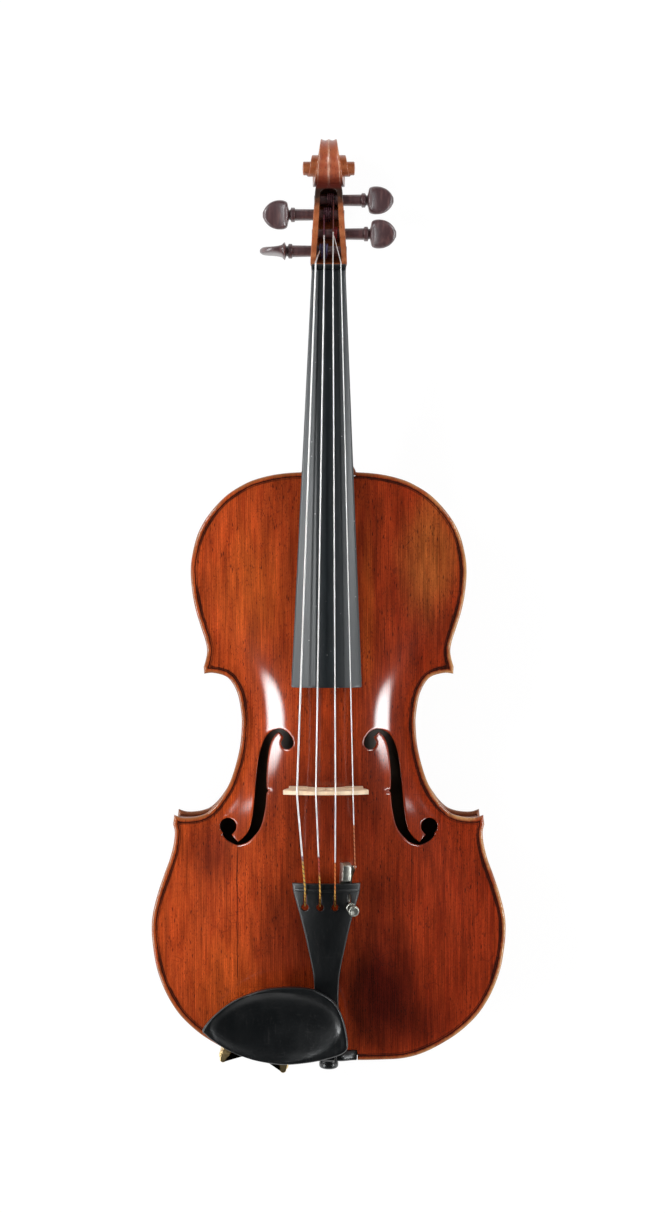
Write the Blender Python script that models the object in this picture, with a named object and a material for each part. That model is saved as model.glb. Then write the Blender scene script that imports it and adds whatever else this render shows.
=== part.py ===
# A full-size viola lying on its back, strings up, scroll towards +Y.
#
# Sizes are in millimetres until solid() turns them into metres. Heights are measured from
# the surface that the viola lies on, and lengths from the lower edge of the body.

import bpy
import bmesh
import numpy as np
from mathutils import Matrix, Vector
from mathutils.geometry import delaunay_2d_cdt

MM = 0.001
GAP = 0.3                     # between pieces that touch

# Whole instrument
BODY_LENGTH = 405.5
BUTTON_END = -10.5            # outer end of the end button
SCROLL_END = 642.9            # top of the scroll
FRAME_Y = (BUTTON_END + SCROLL_END) / 2

# Heights of the body
BACK_EDGE_LOW = 15.0
BACK_EDGE_TOP = 18.85
RIB_LOW = BACK_EDGE_TOP + GAP
RIB_TOP = 55.85
BELLY_EDGE_LOW = RIB_TOP + GAP
BELLY_EDGE_TOP = 60.0
ARCH = 15.0                   # how far each plate rises over its edge
BELLY_THICK = 3.0
BACK_THICK = 4.5
ARCH_SPARE = 0.3              # the back's arch is cut flat by this much, to lie on
MARGIN = 5.6                  # flat border of each plate
PLATE_GRID = 13.5

# Ribs, linings and blocks, measured in from the edge of the plates
OVERHANG = 3.0
RIB_THICK = 1.2
LINING_THICK = 1.9
LINING_DEEP = 8.0
RIB_INNER = OVERHANG + RIB_THICK
LINING_OUTER = RIB_INNER + GAP
LINING_INNER = LINING_OUTER + LINING_THICK

# Half outline of the body, right side, from the neck to the end button
UPPER_BOUT = [
    (0, 405.5), (18, 405.5), (34, 404.3), (47.6, 401.4), (58.3, 397.2), (71, 389), (82.5, 376.5),
    (90, 363.5), (94, 349), (95.2, 337), (94.1, 322.8), (91.7, 310.3), (87.9, 297.9), (85.2, 289.7),
    (83.9, 282.8), (84.6, 277), (86.2, 271.2),
]
MIDDLE_BOUT = [
    (85.9, 266.4), (80, 267), (71.6, 264.9), (66.9, 260.7), (62.8, 252.4), (60.6, 241.4), (60, 231),
    (61.7, 213.8), (67.6, 193.1), (75.5, 179.3), (82.8, 171.4), (89.1, 168.5), (96, 167.4),
    (101.8, 167.6), (106.6, 169.2),
]
LOWER_BOUT = [
    (107.3, 162.5), (106.2, 157.2), (107, 149), (109.5, 139), (113.5, 128), (118, 114.5), (121.3, 101),
    (122.1, 90), (121, 77), (118.3, 62.5), (112.5, 47), (104, 33), (93.4, 22.1), (82, 13.8), (66.2, 5.5),
    (51.7, 1.4), (35, 0.3), (19.8, 0), (0, 0),
]
# Where the arch begins, inside the edge: distance along the body, half width
ARCH_LINE = [
    (8, 0), (10, 40), (16, 66), (26, 86), (40, 101), (62, 111), (90, 115), (118, 110), (140, 101),
    (165, 82), (185, 66), (205, 57), (232, 53), (255, 56.5), (275, 67), (295, 79), (315, 85.5),
    (336, 88), (355, 85), (372, 76), (386, 60), (394, 38), (397, 0),
]
# Lines that part the ribs at the upper and the lower corner: a point and a direction
UPPER_MITRE = ((85.6, 266.6), (-1.0, 1.0))
LOWER_MITRE = ((107.0, 167.8), (-1.0, -1.0))

# Sound holes, right side: round eyes, joined by a stem with a notch in each edge
UPPER_EYE = (28.3, 219.4, 4.2)
LOWER_EYE = (69.2, 161.6, 5.7)
STEM_OUTER = [
    (24.9, 223.0), (28.5, 227.2), (34.4, 228.9), (41.0, 225.9), (45.4, 219), (48.2, 208.5), (50.0, 193),
    (50.9, 183), (52.3, 169), (54.5, 160), (58, 154.9), (62.2, 151.2),
]
LOWER_WING = (66.7, 155.9)
STEM_TAIL = [
    (73.6, 156.4), (70.4, 152.7), (66.4, 150.5), (61.9, 149.3), (55.5, 151.5), (50, 156.7), (46.2, 163),
    (43.6, 174), (42.5, 185.1),
]
STEM_NOTCH = (41.2, 186.5)
STEM_INNER = [(42.5, 188), (42.7, 197), (41.9, 208.5), (40, 218.6), (37.5, 223.7), (34.4, 226.8)]
UPPER_WING = (30.7, 223.4)

# Neck, fingerboard and nut
NECK_ROOT = BODY_LENGTH - OVERHANG + GAP
NUT_FRONT = 544.9
NUT_BACK = 549.0
NUT_TOP = 60.8
BOARD_NUT_HALF = 11.7
BOARD_END = 258.1
BOARD_END_HALF = 23.85
BOARD_CROWN_NUT = 60.0
BOARD_SLOPE = 0.1246
BOARD_RADIUS = 42.0
BOARD_FACET = -7.5            # the board is flat from here to its edge under the C string
BOARD_LOW_NUT = 52.8
BOARD_LOW_END = 82.8
LEAN = -1.8                   # strings and fittings stand this far to the C side at the bridge
BUTTON_RADIUS = 11.0
# Neck sections: y, top, bottom, half width at top and at bottom, squareness (1 is an ellipse)
HEEL_AND_SHAFT = [
    (NECK_ROOT, 67.3, 19.15, 17.3, 10.3, 0.35), (408.5, 66.7, 19.15, 17.1, 10.0, 0.37),
    (413.0, 66.2, 19.25, 16.9, 7.8, 0.45), (416.3, 65.9, 20.5, 16.8, 4.5, 0.55),
    (418.5, 65.7, 28.0, 16.7, 7.0, 0.6), (421.5, 65.4, 35.0, 16.6, 9.5, 0.65),
    (426.5, 64.9, 41.5, 16.4, 12.0, 0.75), (433.5, 64.1, 46.3, 16.1, 13.5, 0.85),
    (443.0, 63.1, 49.0, 15.7, 14.5, 0.9), (457.0, 61.7, 49.7, 15.2, 15.2, 0.9),
    (478.0, 59.5, 47.9, 14.4, 14.4, 0.9), (502.0, 57.0, 45.4, 13.4, 13.4, 0.9),
    (526.0, 54.5, 42.9, 12.5, 12.5, 0.9), (542.0, 52.5, 41.2, 11.9, 11.9, 0.85),
    (NUT_BACK + 0.3, 52.5, 37.6, 12.2, 12.2, 0.7),
]
PEGBOX = [
    (NUT_BACK + 0.35, 57.0, 37.4, 12.7, 12.7, 0.6), (553.5, 55.2, 33.0, 12.6, 12.6, 0.45),
    (560.0, 52.4, 29.3, 12.3, 12.3, 0.35), (572.0, 47.3, 25.3, 11.6, 11.6, 0.25),
    (586.0, 41.4, 20.0, 10.8, 10.8, 0.22), (598.0, 36.3, 13.6, 10.0, 9.8, 0.2),
    (605.0, 33.3, 8.0, 9.6, 9.0, 0.2), (613.5, 29.5, 3.0, 8.3, 8.1, 0.25),
]
# Hollow of the pegbox: y, floor, half width
PEGBOX_HOLLOW = [
    (551.4, 38.5, 8.9), (560.0, 34.2, 8.5), (572.0, 30.0, 7.5), (586.0, 24.9, 6.8), (598.0, 19.0, 6.3),
    (606.5, 17.5, 5.9),
]
HOLLOW_TOP = 64.0

# Scroll: centre of the eye, then radius and half width against the angle turned. Angle 0
# points down at the back of the scroll, 90 to its top end and 180 to its front.
SCROLL_EYE = (622.1, 24.5)
SCROLL_TURNS = [
    (-54, 23.9, 8.7), (-36, 23.5, 8.3), (-18, 23.9, 8.0), (0, 24.5, 7.6), (45, 22.9, 6.4), (90, 20.8, 5.7),
    (135, 18.9, 6.4), (180, 16.8, 8.2), (225, 15.0, 9.8), (270, 13.2, 11.2), (315, 12.1, 11.8), (360, 11.2, 12.2),
    (450, 9.9, 12.8), (540, 8.7, 13.6), (630, 7.5, 14.8), (720, 6.4, 16.4), (810, 5.4, 18.3),
]
SCROLL_STEP = 18.0
SCROLL_GROOVE = 0.9           # how far the groove falls from the edge to the foot of the next wall
SCROLL_EYE_HALF = 19.2

# Pegs: y, height of the axis, side of the head, turn of the head at rest
PEGS = {
    "c": (560.8, 41.0, -1, 90.0),
    "g": (588.1, 31.0, -1, 8.0),
    "d": (599.3, 26.0, 1, -8.0),
    "a": (573.6, 36.5, 1, 22.0),
}
PEG_SMALL = 3.3
PEG_LARGE = 3.9
PEG_HOLE = 4.4
PEG_COLLAR_OUT = 12.9         # collar's distance from the cheek
# Collar and head from the collar outwards: distance, half width, half thickness
PEG_HEAD = [
    (0.0, 4.1, 4.1), (0.5, 5.1, 5.1), (2.8, 5.1, 5.1), (3.4, 3.6, 3.6), (4.4, 3.5, 3.5), (5.0, 6.0, 5.2),
    (5.8, 8.7, 6.2), (8.0, 9.9, 5.3), (11.0, 10.2, 4.5), (14.5, 9.7, 4.0), (18.0, 8.1, 3.8),
    (20.8, 5.4, 3.3), (22.4, 2.7, 2.0),
]
PEG_SIDES = 16

# Strings: diameter, x at nut, x where it leaves its peg, x at bridge, turns on the peg, winding start
STRINGS = {
    "c": (1.2, -9.0, -6.3, -21.0, 3.5, -0.4),
    "g": (1.0, -3.1, -3.3, -8.4, 3.5, 1.9),
    "d": (0.9, 2.9, 3.4, 4.6, 3.5, -1.3),
    "a": (0.7, 8.4, 3.3, 16.3, 2.5, 6.2),
}
WINDING_SPACE = 0.45          # between one turn and the next
TURN_POINTS = 16

# Bridge
BRIDGE_BACK = 187.5
BRIDGE_FRONT = 190.0
BRIDGE_FOOT_BACK = 185.8
BRIDGE_FOOT_FRONT = 190.4
BRIDGE_TOP = 111.0
BRIDGE_RADIUS = 42.0
BRIDGE_TILT = -0.04           # the A side is lower
BRIDGE_HALF = 28.6

# Tailpiece: y, half width
TAIL_OUTLINE = [
    (126.1, 23.1), (120, 22.4), (111, 20.0), (101.1, 17.2), (91, 14.7), (82.2, 12.8), (72, 10.6),
    (63.2, 9.1), (55, 8.4), (45, 8.2), (28, 8.6), (9.5, 9.0),
]
TAIL_AXIS = -1.5
TAIL_RIDGE_TOP = 92.5
TAIL_RIDGE_END = 72.5
TAIL_ARCH_RADIUS = 50.0
TAIL_THICK = 4.0
TAIL_HOLES = {"c": -15.9, "g": -5.8, "d": 4.3}
TAIL_HOLE_Y = 109.6
TAIL_HOLE_RADIUS = 2.5
TUNER_HOLE_RADIUS = 2.75
TAIL_SLOT_TOP = 118.6
TAIL_FRET_Y = 121.3

# End button
BUTTON_HEIGHT = 38.0
BUTTON_SHANK = 3.9

# Fine tuner, set square to the tailpiece's curved top
TUNER_X = 14.5
TUNER_Y = 110.0
TUNER_TILT = 15.0             # right side down
TUNER_RISE = 9.74             # front up, as the tailpiece does

# Chinrest
CHINREST_OUTLINE = [
    (-85.4, 26.1), (-79.3, 34.3), (-67.0, 44.5), (-54.7, 50.6), (-42.4, 54.4), (-30.2, 55.8),
    (-17.9, 55.6), (-9.7, 54.0), (1.0, 48.2), (6.7, 41.6), (10.8, 30.9), (12.9, 19.5), (12.4, 12.9),
    (6.7, 8.8), (-5.6, 5.2), (-17.9, 3.1), (-30.2, 2.2), (-42.4, 3.5), (-54.7, 6.4), (-67.0, 11.3),
    (-77.7, 17.9), (-83.4, 22.7),
]
BARRELS = {"left": (-72.6, 2.0), "right": (-31.3, -5.2)}
BARREL_RADIUS = 3.4
BARREL_BORE = 1.7
STUD_RADIUS = 1.3
CLAMP_PAD_TOP = 64.5
CLAMP_FOOT_LOW = 10.0
CLAMP_FOOT_TOP = 12.0
CORK_THICK = 2.0


# Curves and outlines

def smooth_line(points, count):
    """A Catmull-Rom curve through the points, cut into count equal lengths."""
    line = np.array(points, float)
    line = np.vstack([2 * line[0] - line[1], line, 2 * line[-1] - line[-2]])
    t = np.linspace(0, 1, 16, endpoint=False)[:, None]
    spans = []
    for a, b, c, d in zip(line, line[1:], line[2:], line[3:]):
        square = 2 * a - 5 * b + 4 * c - d
        cube = 3 * b - a - 3 * c + d
        spans.append(0.5 * (2 * b + (c - a) * t + square * t**2 + cube * t**3))
    dense = np.vstack(spans + [line[-2:-1]])
    return resampled(dense, count)


def resampled(line, count):
    """The same line cut into count equal lengths."""
    run = np.r_[0, np.cumsum(np.linalg.norm(np.diff(line, axis=0), axis=1))]
    at = np.linspace(0, run[-1], count + 1)
    return np.column_stack([np.interp(at, run, line[:, k]) for k in range(line.shape[1])])


def inset(line, distance):
    """The line moved in from the edge of the body, which is on its left as it runs down the right side."""
    ahead = np.gradient(line, axis=0)
    ahead /= np.linalg.norm(ahead, axis=1)[:, None]
    return line + distance * np.column_stack([ahead[:, 1], -ahead[:, 0]])


def cut_at(line, mitre, side):
    """The line up to the mitre, which it is lengthened to reach, stopping half a gap short on the side named."""
    point, along = np.array(mitre[0]), np.array(mitre[1])
    along = along / np.linalg.norm(along)
    across = np.array([-along[1], along[0]])
    longer = np.vstack([line, line[-1] + 12 * (line[-1] - line[-2]) / np.linalg.norm(line[-1] - line[-2])])
    past = side * ((longer - point) @ across) - GAP / 2
    for i in range(len(longer) // 2, len(longer) - 1):
        if past[i] > 0 >= past[i + 1]:
            share = past[i] / (past[i] - past[i + 1])
            return np.vstack([longer[: i + 1], longer[i] + share * (longer[i + 1] - longer[i])])
    return line


def mirrored(points):
    return np.asarray(points) * (-1, 1)


def circle_points(x, y, radius, start, end, count):
    angle = np.radians(np.linspace(start, end, count))
    return np.column_stack([x + radius * np.cos(angle), y + radius * np.sin(angle)])


def inside(points, loop):
    """Which points lie inside a closed loop, by counting the edges to their right."""
    x, y = points[:, 0, None], points[:, 1, None]
    a, b = loop, np.roll(loop, -1, axis=0)
    crosses = (a[:, 1] > y) != (b[:, 1] > y)
    rise = np.where(b[:, 1] == a[:, 1], 1e-9, b[:, 1] - a[:, 1])
    at = a[:, 0] + (y - a[:, 1]) * (b[:, 0] - a[:, 0]) / rise
    return (crosses & (x < at)).sum(axis=1) % 2 == 1


def far_from(points, loop, distance):
    """Which points lie at least this far from a closed loop."""
    a, b = loop, np.roll(loop, -1, axis=0)
    along = b - a
    offset = points[:, None] - a
    share = np.clip((offset * along).sum(axis=2) / np.maximum((along**2).sum(axis=1), 1e-9), 0, 1)
    return np.linalg.norm(offset - share[..., None] * along, axis=2).min(axis=1) > distance


# Shapes of the two arched plates

def arch_height(x, y):
    """Height of the arch over the edge: a full curve across, and a fuller one along."""
    line = smooth_line(ARCH_LINE, 240)
    half = np.maximum(np.interp(y, line[:, 0], line[:, 1]), 1e-3)
    across = np.clip(np.abs(x) / half, 0, 1)
    along = np.clip(np.abs(y - 202.0) / 195.0, 0, 1)
    return ARCH * (1 + np.cos(np.pi * across**1.3)) / 2 * (1 + np.cos(np.pi * along**2.2)) / 2


def belly_top(x, y):
    return BELLY_EDGE_TOP + arch_height(x, y)


def belly_low(x, y):
    edge_to_crown = BELLY_EDGE_TOP + ARCH - BELLY_THICK - BELLY_EDGE_LOW
    return BELLY_EDGE_LOW + arch_height(x, y) * edge_to_crown / ARCH


def back_low(x, y):
    return np.maximum(BACK_EDGE_LOW - arch_height(x, y) * (ARCH + ARCH_SPARE) / ARCH, 0)


def back_top(x, y):
    return BACK_EDGE_TOP - arch_height(x, y) * (BACK_EDGE_TOP - BACK_THICK) / ARCH


def half_edge():
    """The three bouts of the right side, as lines."""
    return smooth_line(UPPER_BOUT, 34), smooth_line(MIDDLE_BOUT, 26), smooth_line(LOWER_BOUT, 36)


def closed_edge(right):
    """A closed outline from its right half, which starts and ends on the centre line."""
    return np.vstack([right, mirrored(right[1:-1])[::-1]])


def belly_edge():
    upper, middle, lower = half_edge()
    root, saddle = 18.6, 19.9
    upper = upper[upper[:, 0] > root + 1]
    lower = lower[lower[:, 0] > saddle + 1]
    neck_notch = [(0, NECK_ROOT - 0.4), (root, NECK_ROOT - 0.4), (root, BODY_LENGTH)]
    saddle_notch = [(saddle, 0), (saddle, 7.4), (0, 7.4)]
    return closed_edge(np.vstack([neck_notch, upper, middle, lower, saddle_notch]))


def back_edge():
    upper, middle, lower = half_edge()
    upper = upper[upper[:, 0] > BUTTON_RADIUS + 1]
    button = circle_points(0, BODY_LENGTH, BUTTON_RADIUS, 90, 0, 8)
    return closed_edge(np.vstack([button, upper, middle, lower]))


def sound_hole():
    """One closed sound hole on the right side."""
    upper_eye = circle_points(*UPPER_EYE, 10, -200, 11)
    lower_eye = circle_points(*LOWER_EYE, 210, -52, 13)
    return np.vstack([
        smooth_line(STEM_OUTER, 13), [LOWER_WING], lower_eye, smooth_line(STEM_TAIL, 10)[1:], [STEM_NOTCH],
        smooth_line(STEM_INNER, 6), [UPPER_WING], upper_eye,
    ])


def margin_inside(loop, width):
    """Points along the inner edge of the plate's flat margin."""
    ahead = np.roll(loop, -1, axis=0) - np.roll(loop, 1, axis=0)
    ahead /= np.linalg.norm(ahead, axis=1)[:, None]
    points = (loop + width * np.column_stack([ahead[:, 1], -ahead[:, 0]]))[::2]
    return points[inside(points, loop) & far_from(points, loop, width * 0.9)]


def grid_inside(loop, holes, step, keep_off):
    """Points of an even grid inside the loop, clear of its edge and of the holes."""
    low, high = loop.min(axis=0), loop.max(axis=0)
    xs = np.arange(step / 2, max(high[0], -low[0]), step)
    xs = np.concatenate([-xs[::-1], xs])
    ys = np.arange(low[1] + step / 2, high[1], step)
    points = np.array([(x, y) for x in xs for y in ys])
    points = points[inside(points, loop) & far_from(points, loop, keep_off)]
    for hole in holes:
        points = points[~inside(points, hole) & far_from(points, hole, keep_off * 0.7)]
    return points


# Objects

def finish(name, colour, roughness, metallic=0.0):
    """A plain material of one colour, roughness and metallic value."""
    material = bpy.data.materials.get(name) or bpy.data.materials.new(name)
    material.use_nodes = True
    shader = material.node_tree.nodes["Principled BSDF"]
    shader.inputs["Base Color"].default_value = (*colour, 1)
    shader.inputs["Roughness"].default_value = roughness
    shader.inputs["Metallic"].default_value = metallic
    return material


FINISHES = {
    "belly_varnish": ((0.30, 0.045, 0.012), 0.3, 0),
    "maple_varnish": ((0.36, 0.09, 0.02), 0.3, 0),
    "bare_spruce": ((0.66, 0.48, 0.28), 0.7, 0),
    "ebony": ((0.012, 0.013, 0.015), 0.4, 0),
    "rosewood": ((0.05, 0.015, 0.015), 0.35, 0),
    "bare_maple": ((0.74, 0.55, 0.33), 0.55, 0),
    "steel_string": ((0.6, 0.6, 0.6), 0.3, 1),
    "silk": ((0.16, 0.14, 0.35), 0.8, 0),
    "nickel_metal": ((0.52, 0.52, 0.46), 0.35, 1),
    "gold_metal": ((0.75, 0.55, 0.28), 0.3, 1),
    "cork": ((0.5, 0.33, 0.18), 0.9, 0),
    "tail_cord": ((0.02, 0.02, 0.02), 0.5, 0),
}


def smooth_and_dress(obj, look):
    obj.data.materials.append(finish(look, *FINISHES[look]))
    obj.data.shade_smooth()
    obj.data.set_sharp_from_angle(angle=np.radians(35))
    bpy.context.scene.collection.objects.link(obj)
    return obj


def solid(name, points, faces, look):
    """A closed mesh object from points in millimetres."""
    points = (np.asarray(points, float) - (0, FRAME_Y, 0)) * MM
    mesh = bpy.data.meshes.new(name)
    mesh.from_pydata(points.tolist(), [], faces)
    edit = bmesh.new()
    edit.from_mesh(mesh)
    bmesh.ops.recalc_face_normals(edit, faces=edit.faces)
    edit.to_mesh(mesh)
    edit.free()
    return smooth_and_dress(bpy.data.objects.new(name, mesh), look)


def loft(name, sections, look):
    """A solid through closed sections, each an array of the same number of points."""
    sections = np.asarray(sections, float)
    rows, sides = sections.shape[:2]
    faces = [tuple(range(sides))[::-1], tuple((rows - 1) * sides + k for k in range(sides))]
    for i in range(rows - 1):
        for k in range(sides):
            a, b = i * sides + k, i * sides + (k + 1) % sides
            faces.append((a, b, b + sides, a + sides))
    return solid(name, sections.reshape(-1, 3), faces, look)


def prism(name, loop, low, high, look):
    """A flat loop in plan, raised from low to high."""
    loop = np.asarray(loop, float)
    return loft(name, [np.column_stack([loop, np.full(len(loop), z)]) for z in (low, high)], look)


def strip(name, outer, inner, low, high, look):
    """A bent strip between two lines in plan, raised from low to high."""
    sections = []
    for a, b in zip(outer, inner):
        sections.append([(*a, low), (*b, low), (*b, high), (*a, high)])
    return loft(name, sections, look)


def plate(name, loop, holes, inner_points, high, low, look, stand_up=False):
    """A plate cut to a loop with holes. high and low give its two faces over the plan, or, if it stands up,
    its front and back over the elevation."""
    loops = [loop] + holes
    points = np.vstack(loops + [inner_points])
    edges, start = [], 0
    for each in loops:
        edges += [(start + i, start + (i + 1) % len(each)) for i in range(len(each))]
        start += len(each)
    found = delaunay_2d_cdt([Vector(p) for p in points], edges, [], 0, 1e-6)
    plan = np.array([tuple(v) for v in found[0]])
    triangles = np.array(found[2])
    middle = plan[triangles].mean(axis=1)
    keep = inside(middle, loop)
    for hole in holes:
        keep &= ~inside(middle, hole)
    triangles = triangles[keep]
    used, triangles = np.unique(triangles, return_inverse=True)
    triangles = triangles.reshape(-1, 3)
    plan = plan[used]
    a, b, c = (plan[triangles[:, k]] for k in range(3))
    turned = (b[:, 0] - a[:, 0]) * (c[:, 1] - a[:, 1]) - (b[:, 1] - a[:, 1]) * (c[:, 0] - a[:, 0]) < 0
    triangles[turned] = triangles[turned][:, ::-1]
    count = len(plan)
    directed = {(int(t[k]), int(t[(k + 1) % 3])) for t in triangles for k in range(3)}
    faces = [tuple(int(i) for i in t) for t in triangles]
    faces += [tuple(int(i) + count for i in t[::-1]) for t in triangles]
    faces += [(i, i + count, j + count, j) for i, j in sorted(directed) if (j, i) not in directed]
    tops, lows = high(plan[:, 0], plan[:, 1]), low(plan[:, 0], plan[:, 1])
    if stand_up:
        ends = [np.column_stack([plan[:, 0], depth, plan[:, 1]]) for depth in (tops, lows)]
    else:
        ends = [np.column_stack([plan, height]) for height in (tops, lows)]
    return solid(name, np.vstack(ends), faces, look)


def turned(name, base, profile, look, sides=16, bore=0.0):
    """A round piece on an upright axis: (distance up, radius) pairs, with an optional bore right through."""
    angle = np.arange(sides) * 2 * np.pi / sides
    ring = np.column_stack([np.cos(angle), np.sin(angle)])
    rows = [np.column_stack([ring * radius, np.full(sides, up)]) for up, radius in profile]
    if bore:
        rows += [np.column_stack([ring * bore, np.full(sides, up)]) for up in (profile[-1][0], profile[0][0])]
        points = np.vstack(rows) + base
        count = len(rows)
        faces = []
        for i in range(count):
            for k in range(sides):
                a, b = i * sides + k, i * sides + (k + 1) % sides
                c, d = ((i + 1) % count) * sides + k, ((i + 1) % count) * sides + (k + 1) % sides
                faces.append((a, b, d, c))
        return solid(name, points, faces, look)
    return loft(name, np.array(rows) + base, look)


def box(name, low, high, look):
    (x0, y0, z0), (x1, y1, z1) = low, high
    return prism(name, [(x0, y0), (x1, y0), (x1, y1), (x0, y1)], z0, z1, look)


def cord(name, points, diameter, look, resolution=1):
    """A round cord along its points, with closed ends."""
    data = bpy.data.curves.new(name, "CURVE")
    data.dimensions = "3D"
    data.bevel_depth = diameter / 2 * MM
    data.bevel_resolution = resolution
    data.use_fill_caps = True
    spline = data.splines.new("POLY")
    spline.points.add(len(points) - 1)
    places = (np.asarray(points, float) - (0, FRAME_Y, 0)) * MM
    spline.points.foreach_set("co", np.column_stack([places, np.ones(len(places))]).ravel())
    data.materials.append(finish(look, *FINISHES[look]))
    obj = bpy.data.objects.new(name, data)
    bpy.context.scene.collection.objects.link(obj)
    return obj


def centre_on(obj, point):
    """Puts an object's origin on its joint's axis, with its shape left where it is."""
    place = (Vector(point) - Vector((0, FRAME_Y, 0))) * MM
    obj.data.transform(Matrix.Translation(-place))
    obj.location = place
    return obj


def helper(obj):
    obj.hide_render = True
    obj.display_type = "WIRE"
    return obj


def combine(obj, other, operation):
    """Adds or cuts another solid with a Boolean, and hides that solid."""
    step = obj.modifiers.new(other.name, "BOOLEAN")
    step.operation = operation
    step.solver = "EXACT"
    step.object = helper(other)
    return obj


def tilted(points, base, degrees, rise):
    """Points turned about a base point: front up by the rise, then right side down by the degrees."""
    angle, lift = np.radians(degrees), np.radians(rise)
    x, y, z = (np.asarray(points, float) - base).T
    y, z = y * np.cos(lift) - z * np.sin(lift), z * np.cos(lift) + y * np.sin(lift)
    return np.column_stack([x * np.cos(angle) + z * np.sin(angle), y, z * np.cos(angle) - x * np.sin(angle)]) + base


# Body

def make_plates():
    edge = belly_edge()
    holes = [sound_hole(), mirrored(sound_hole())[::-1]]
    points = np.vstack([margin_inside(edge, MARGIN), grid_inside(edge, holes, PLATE_GRID, MARGIN * 1.6)])
    points = points[np.all([far_from(points, hole, 3.0) for hole in holes], axis=0)]
    plate("belly", edge, holes, points, belly_top, belly_low, "belly_varnish")
    edge = back_edge()
    points = np.vstack([margin_inside(edge, MARGIN), grid_inside(edge, [], PLATE_GRID, MARGIN * 1.6)])
    plate("back", edge, [], points, back_top, back_low, "maple_varnish")


def rib_line(bout, distance):
    """One bout's line moved in, and cut at the corners and at the centre line."""
    line = inset(bout["line"], distance)
    if bout["start"]:
        line = cut_at(line[::-1], *bout["start"])[::-1]
    if bout["end"]:
        line = cut_at(line, *bout["end"])
    line[:, 0] = np.maximum(line[:, 0], GAP / 2)
    return line


def bouts():
    upper, middle, lower = half_edge()
    return {
        "upper": {"line": upper, "start": None, "end": (UPPER_MITRE, -1), "steps": 24, "lining": (0.14, 0.88)},
        "middle": {"line": middle, "start": (UPPER_MITRE, 1), "end": (LOWER_MITRE, -1), "steps": 20,
                   "lining": (0.17, 0.8)},
        "lower": {"line": lower, "start": (LOWER_MITRE, 1), "end": None, "steps": 26, "lining": (0.12, 0.86)},
    }


def make_ribs():
    for name, bout in bouts().items():
        outer = resampled(rib_line(bout, OVERHANG), bout["steps"])
        inner = resampled(rib_line(bout, RIB_INNER), bout["steps"])
        first, last = bout["lining"]
        rows = len(bout["line"]) - 1
        stretch = slice(round(first * rows), round(last * rows) + 1)
        lining = [resampled(inset(bout["line"], d)[stretch], 12) for d in (LINING_OUTER, LINING_INNER)]
        for side, flip in (("right", 1), ("left", -1)):
            strip(f"rib_{name}_{side}", outer * (flip, 1), inner * (flip, 1), RIB_LOW, RIB_TOP, "maple_varnish")
            for level, low in (("top", RIB_TOP - LINING_DEEP), ("bottom", RIB_LOW)):
                strip(f"lining_{name}_{side}_{level}", lining[0] * (flip, 1), lining[1] * (flip, 1), low,
                      low + LINING_DEEP, "bare_spruce")


def corner_block(first, second, reach):
    """Plan of a corner block: the inner faces of two ribs that meet, closed by a straight face."""
    one = rib_line(first, LINING_OUTER)
    two = rib_line(second, LINING_OUTER)
    one = one[np.linalg.norm(one - one[-1], axis=1) < reach]
    two = two[np.linalg.norm(two - two[0], axis=1) < reach]
    return np.vstack([resampled(one, 5), resampled(two, 5)])


def make_blocks():
    parts = bouts()
    plans = {
        "upper": corner_block(parts["upper"], parts["middle"], 24),
        "lower": corner_block(parts["middle"], parts["lower"], 26),
    }
    for name, plan in plans.items():
        for side, flip in (("right", 1), ("left", -1)):
            prism(f"corner_block_{name}_{side}", plan * (flip, 1), RIB_LOW, RIB_TOP, "bare_spruce")
    box("neck_block", (-24, 383, RIB_LOW), (24, BODY_LENGTH - LINING_OUTER - 0.6, RIB_TOP), "bare_spruce")
    end = box("end_block", (-27, LINING_OUTER + 0.6, RIB_LOW), (27, 21, RIB_TOP), "bare_spruce")
    hole = rod("button_hole", (0, -6, BUTTON_HEIGHT), (0, 30, BUTTON_HEIGHT), BUTTON_SHANK + 0.35)
    for obj in (end, bpy.data.objects["rib_lower_left"], bpy.data.objects["rib_lower_right"]):
        combine(obj, hole, "DIFFERENCE")


def rod(name, start, end, radius, look="bare_maple", sides=16):
    """A plain round rod between two points."""
    start, end = np.array(start, float), np.array(end, float)
    along = (end - start) / np.linalg.norm(end - start)
    side = np.cross(along, (0, 0, 1) if abs(along[2]) < 0.9 else (1, 0, 0))
    side /= np.linalg.norm(side)
    other = np.cross(along, side)
    angle = (np.arange(sides) + 0.5) * 2 * np.pi / sides
    ring = radius * (np.cos(angle)[:, None] * side + np.sin(angle)[:, None] * other)
    return loft(name, [start + ring, end + ring], look)


def make_bass_bar():
    """A spruce bar along the underside of the belly, deepest under the bridge."""
    x0, x1 = -21.0, -15.5
    sections = []
    for y in np.linspace(78, 335, 14):
        top = float(min(belly_low(np.array([x]), np.array([y]))[0] for x in (x0, x1))) - 0.7
        deep = 4.0 + 8.5 * np.sin(np.pi * (y - 78) / 257) ** 0.8
        sections.append([(x0, y, top), (x1, y, top), (x1, y, top - deep), (x0, y, top - deep)])
    loft("bass_bar", sections, "bare_spruce")


def make_soundpost():
    x, y, radius = 19.0, 181.0, 3.1
    around = circle_points(x, y, radius, 0, 315, 8)
    low = float(back_top(around[:, 0], around[:, 1]).max()) + 0.5
    high = float(belly_low(around[:, 0], around[:, 1]).min()) - 0.6
    turned("soundpost", (x, y, 0), [(low, radius), (high, radius)], "bare_spruce", 12)


# Neck, pegbox and scroll

def lean(y):
    """How far the strings' centre line stands from the body's, at this distance along."""
    return LEAN * (NUT_BACK - y) / (NUT_BACK - BRIDGE_FRONT)


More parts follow.
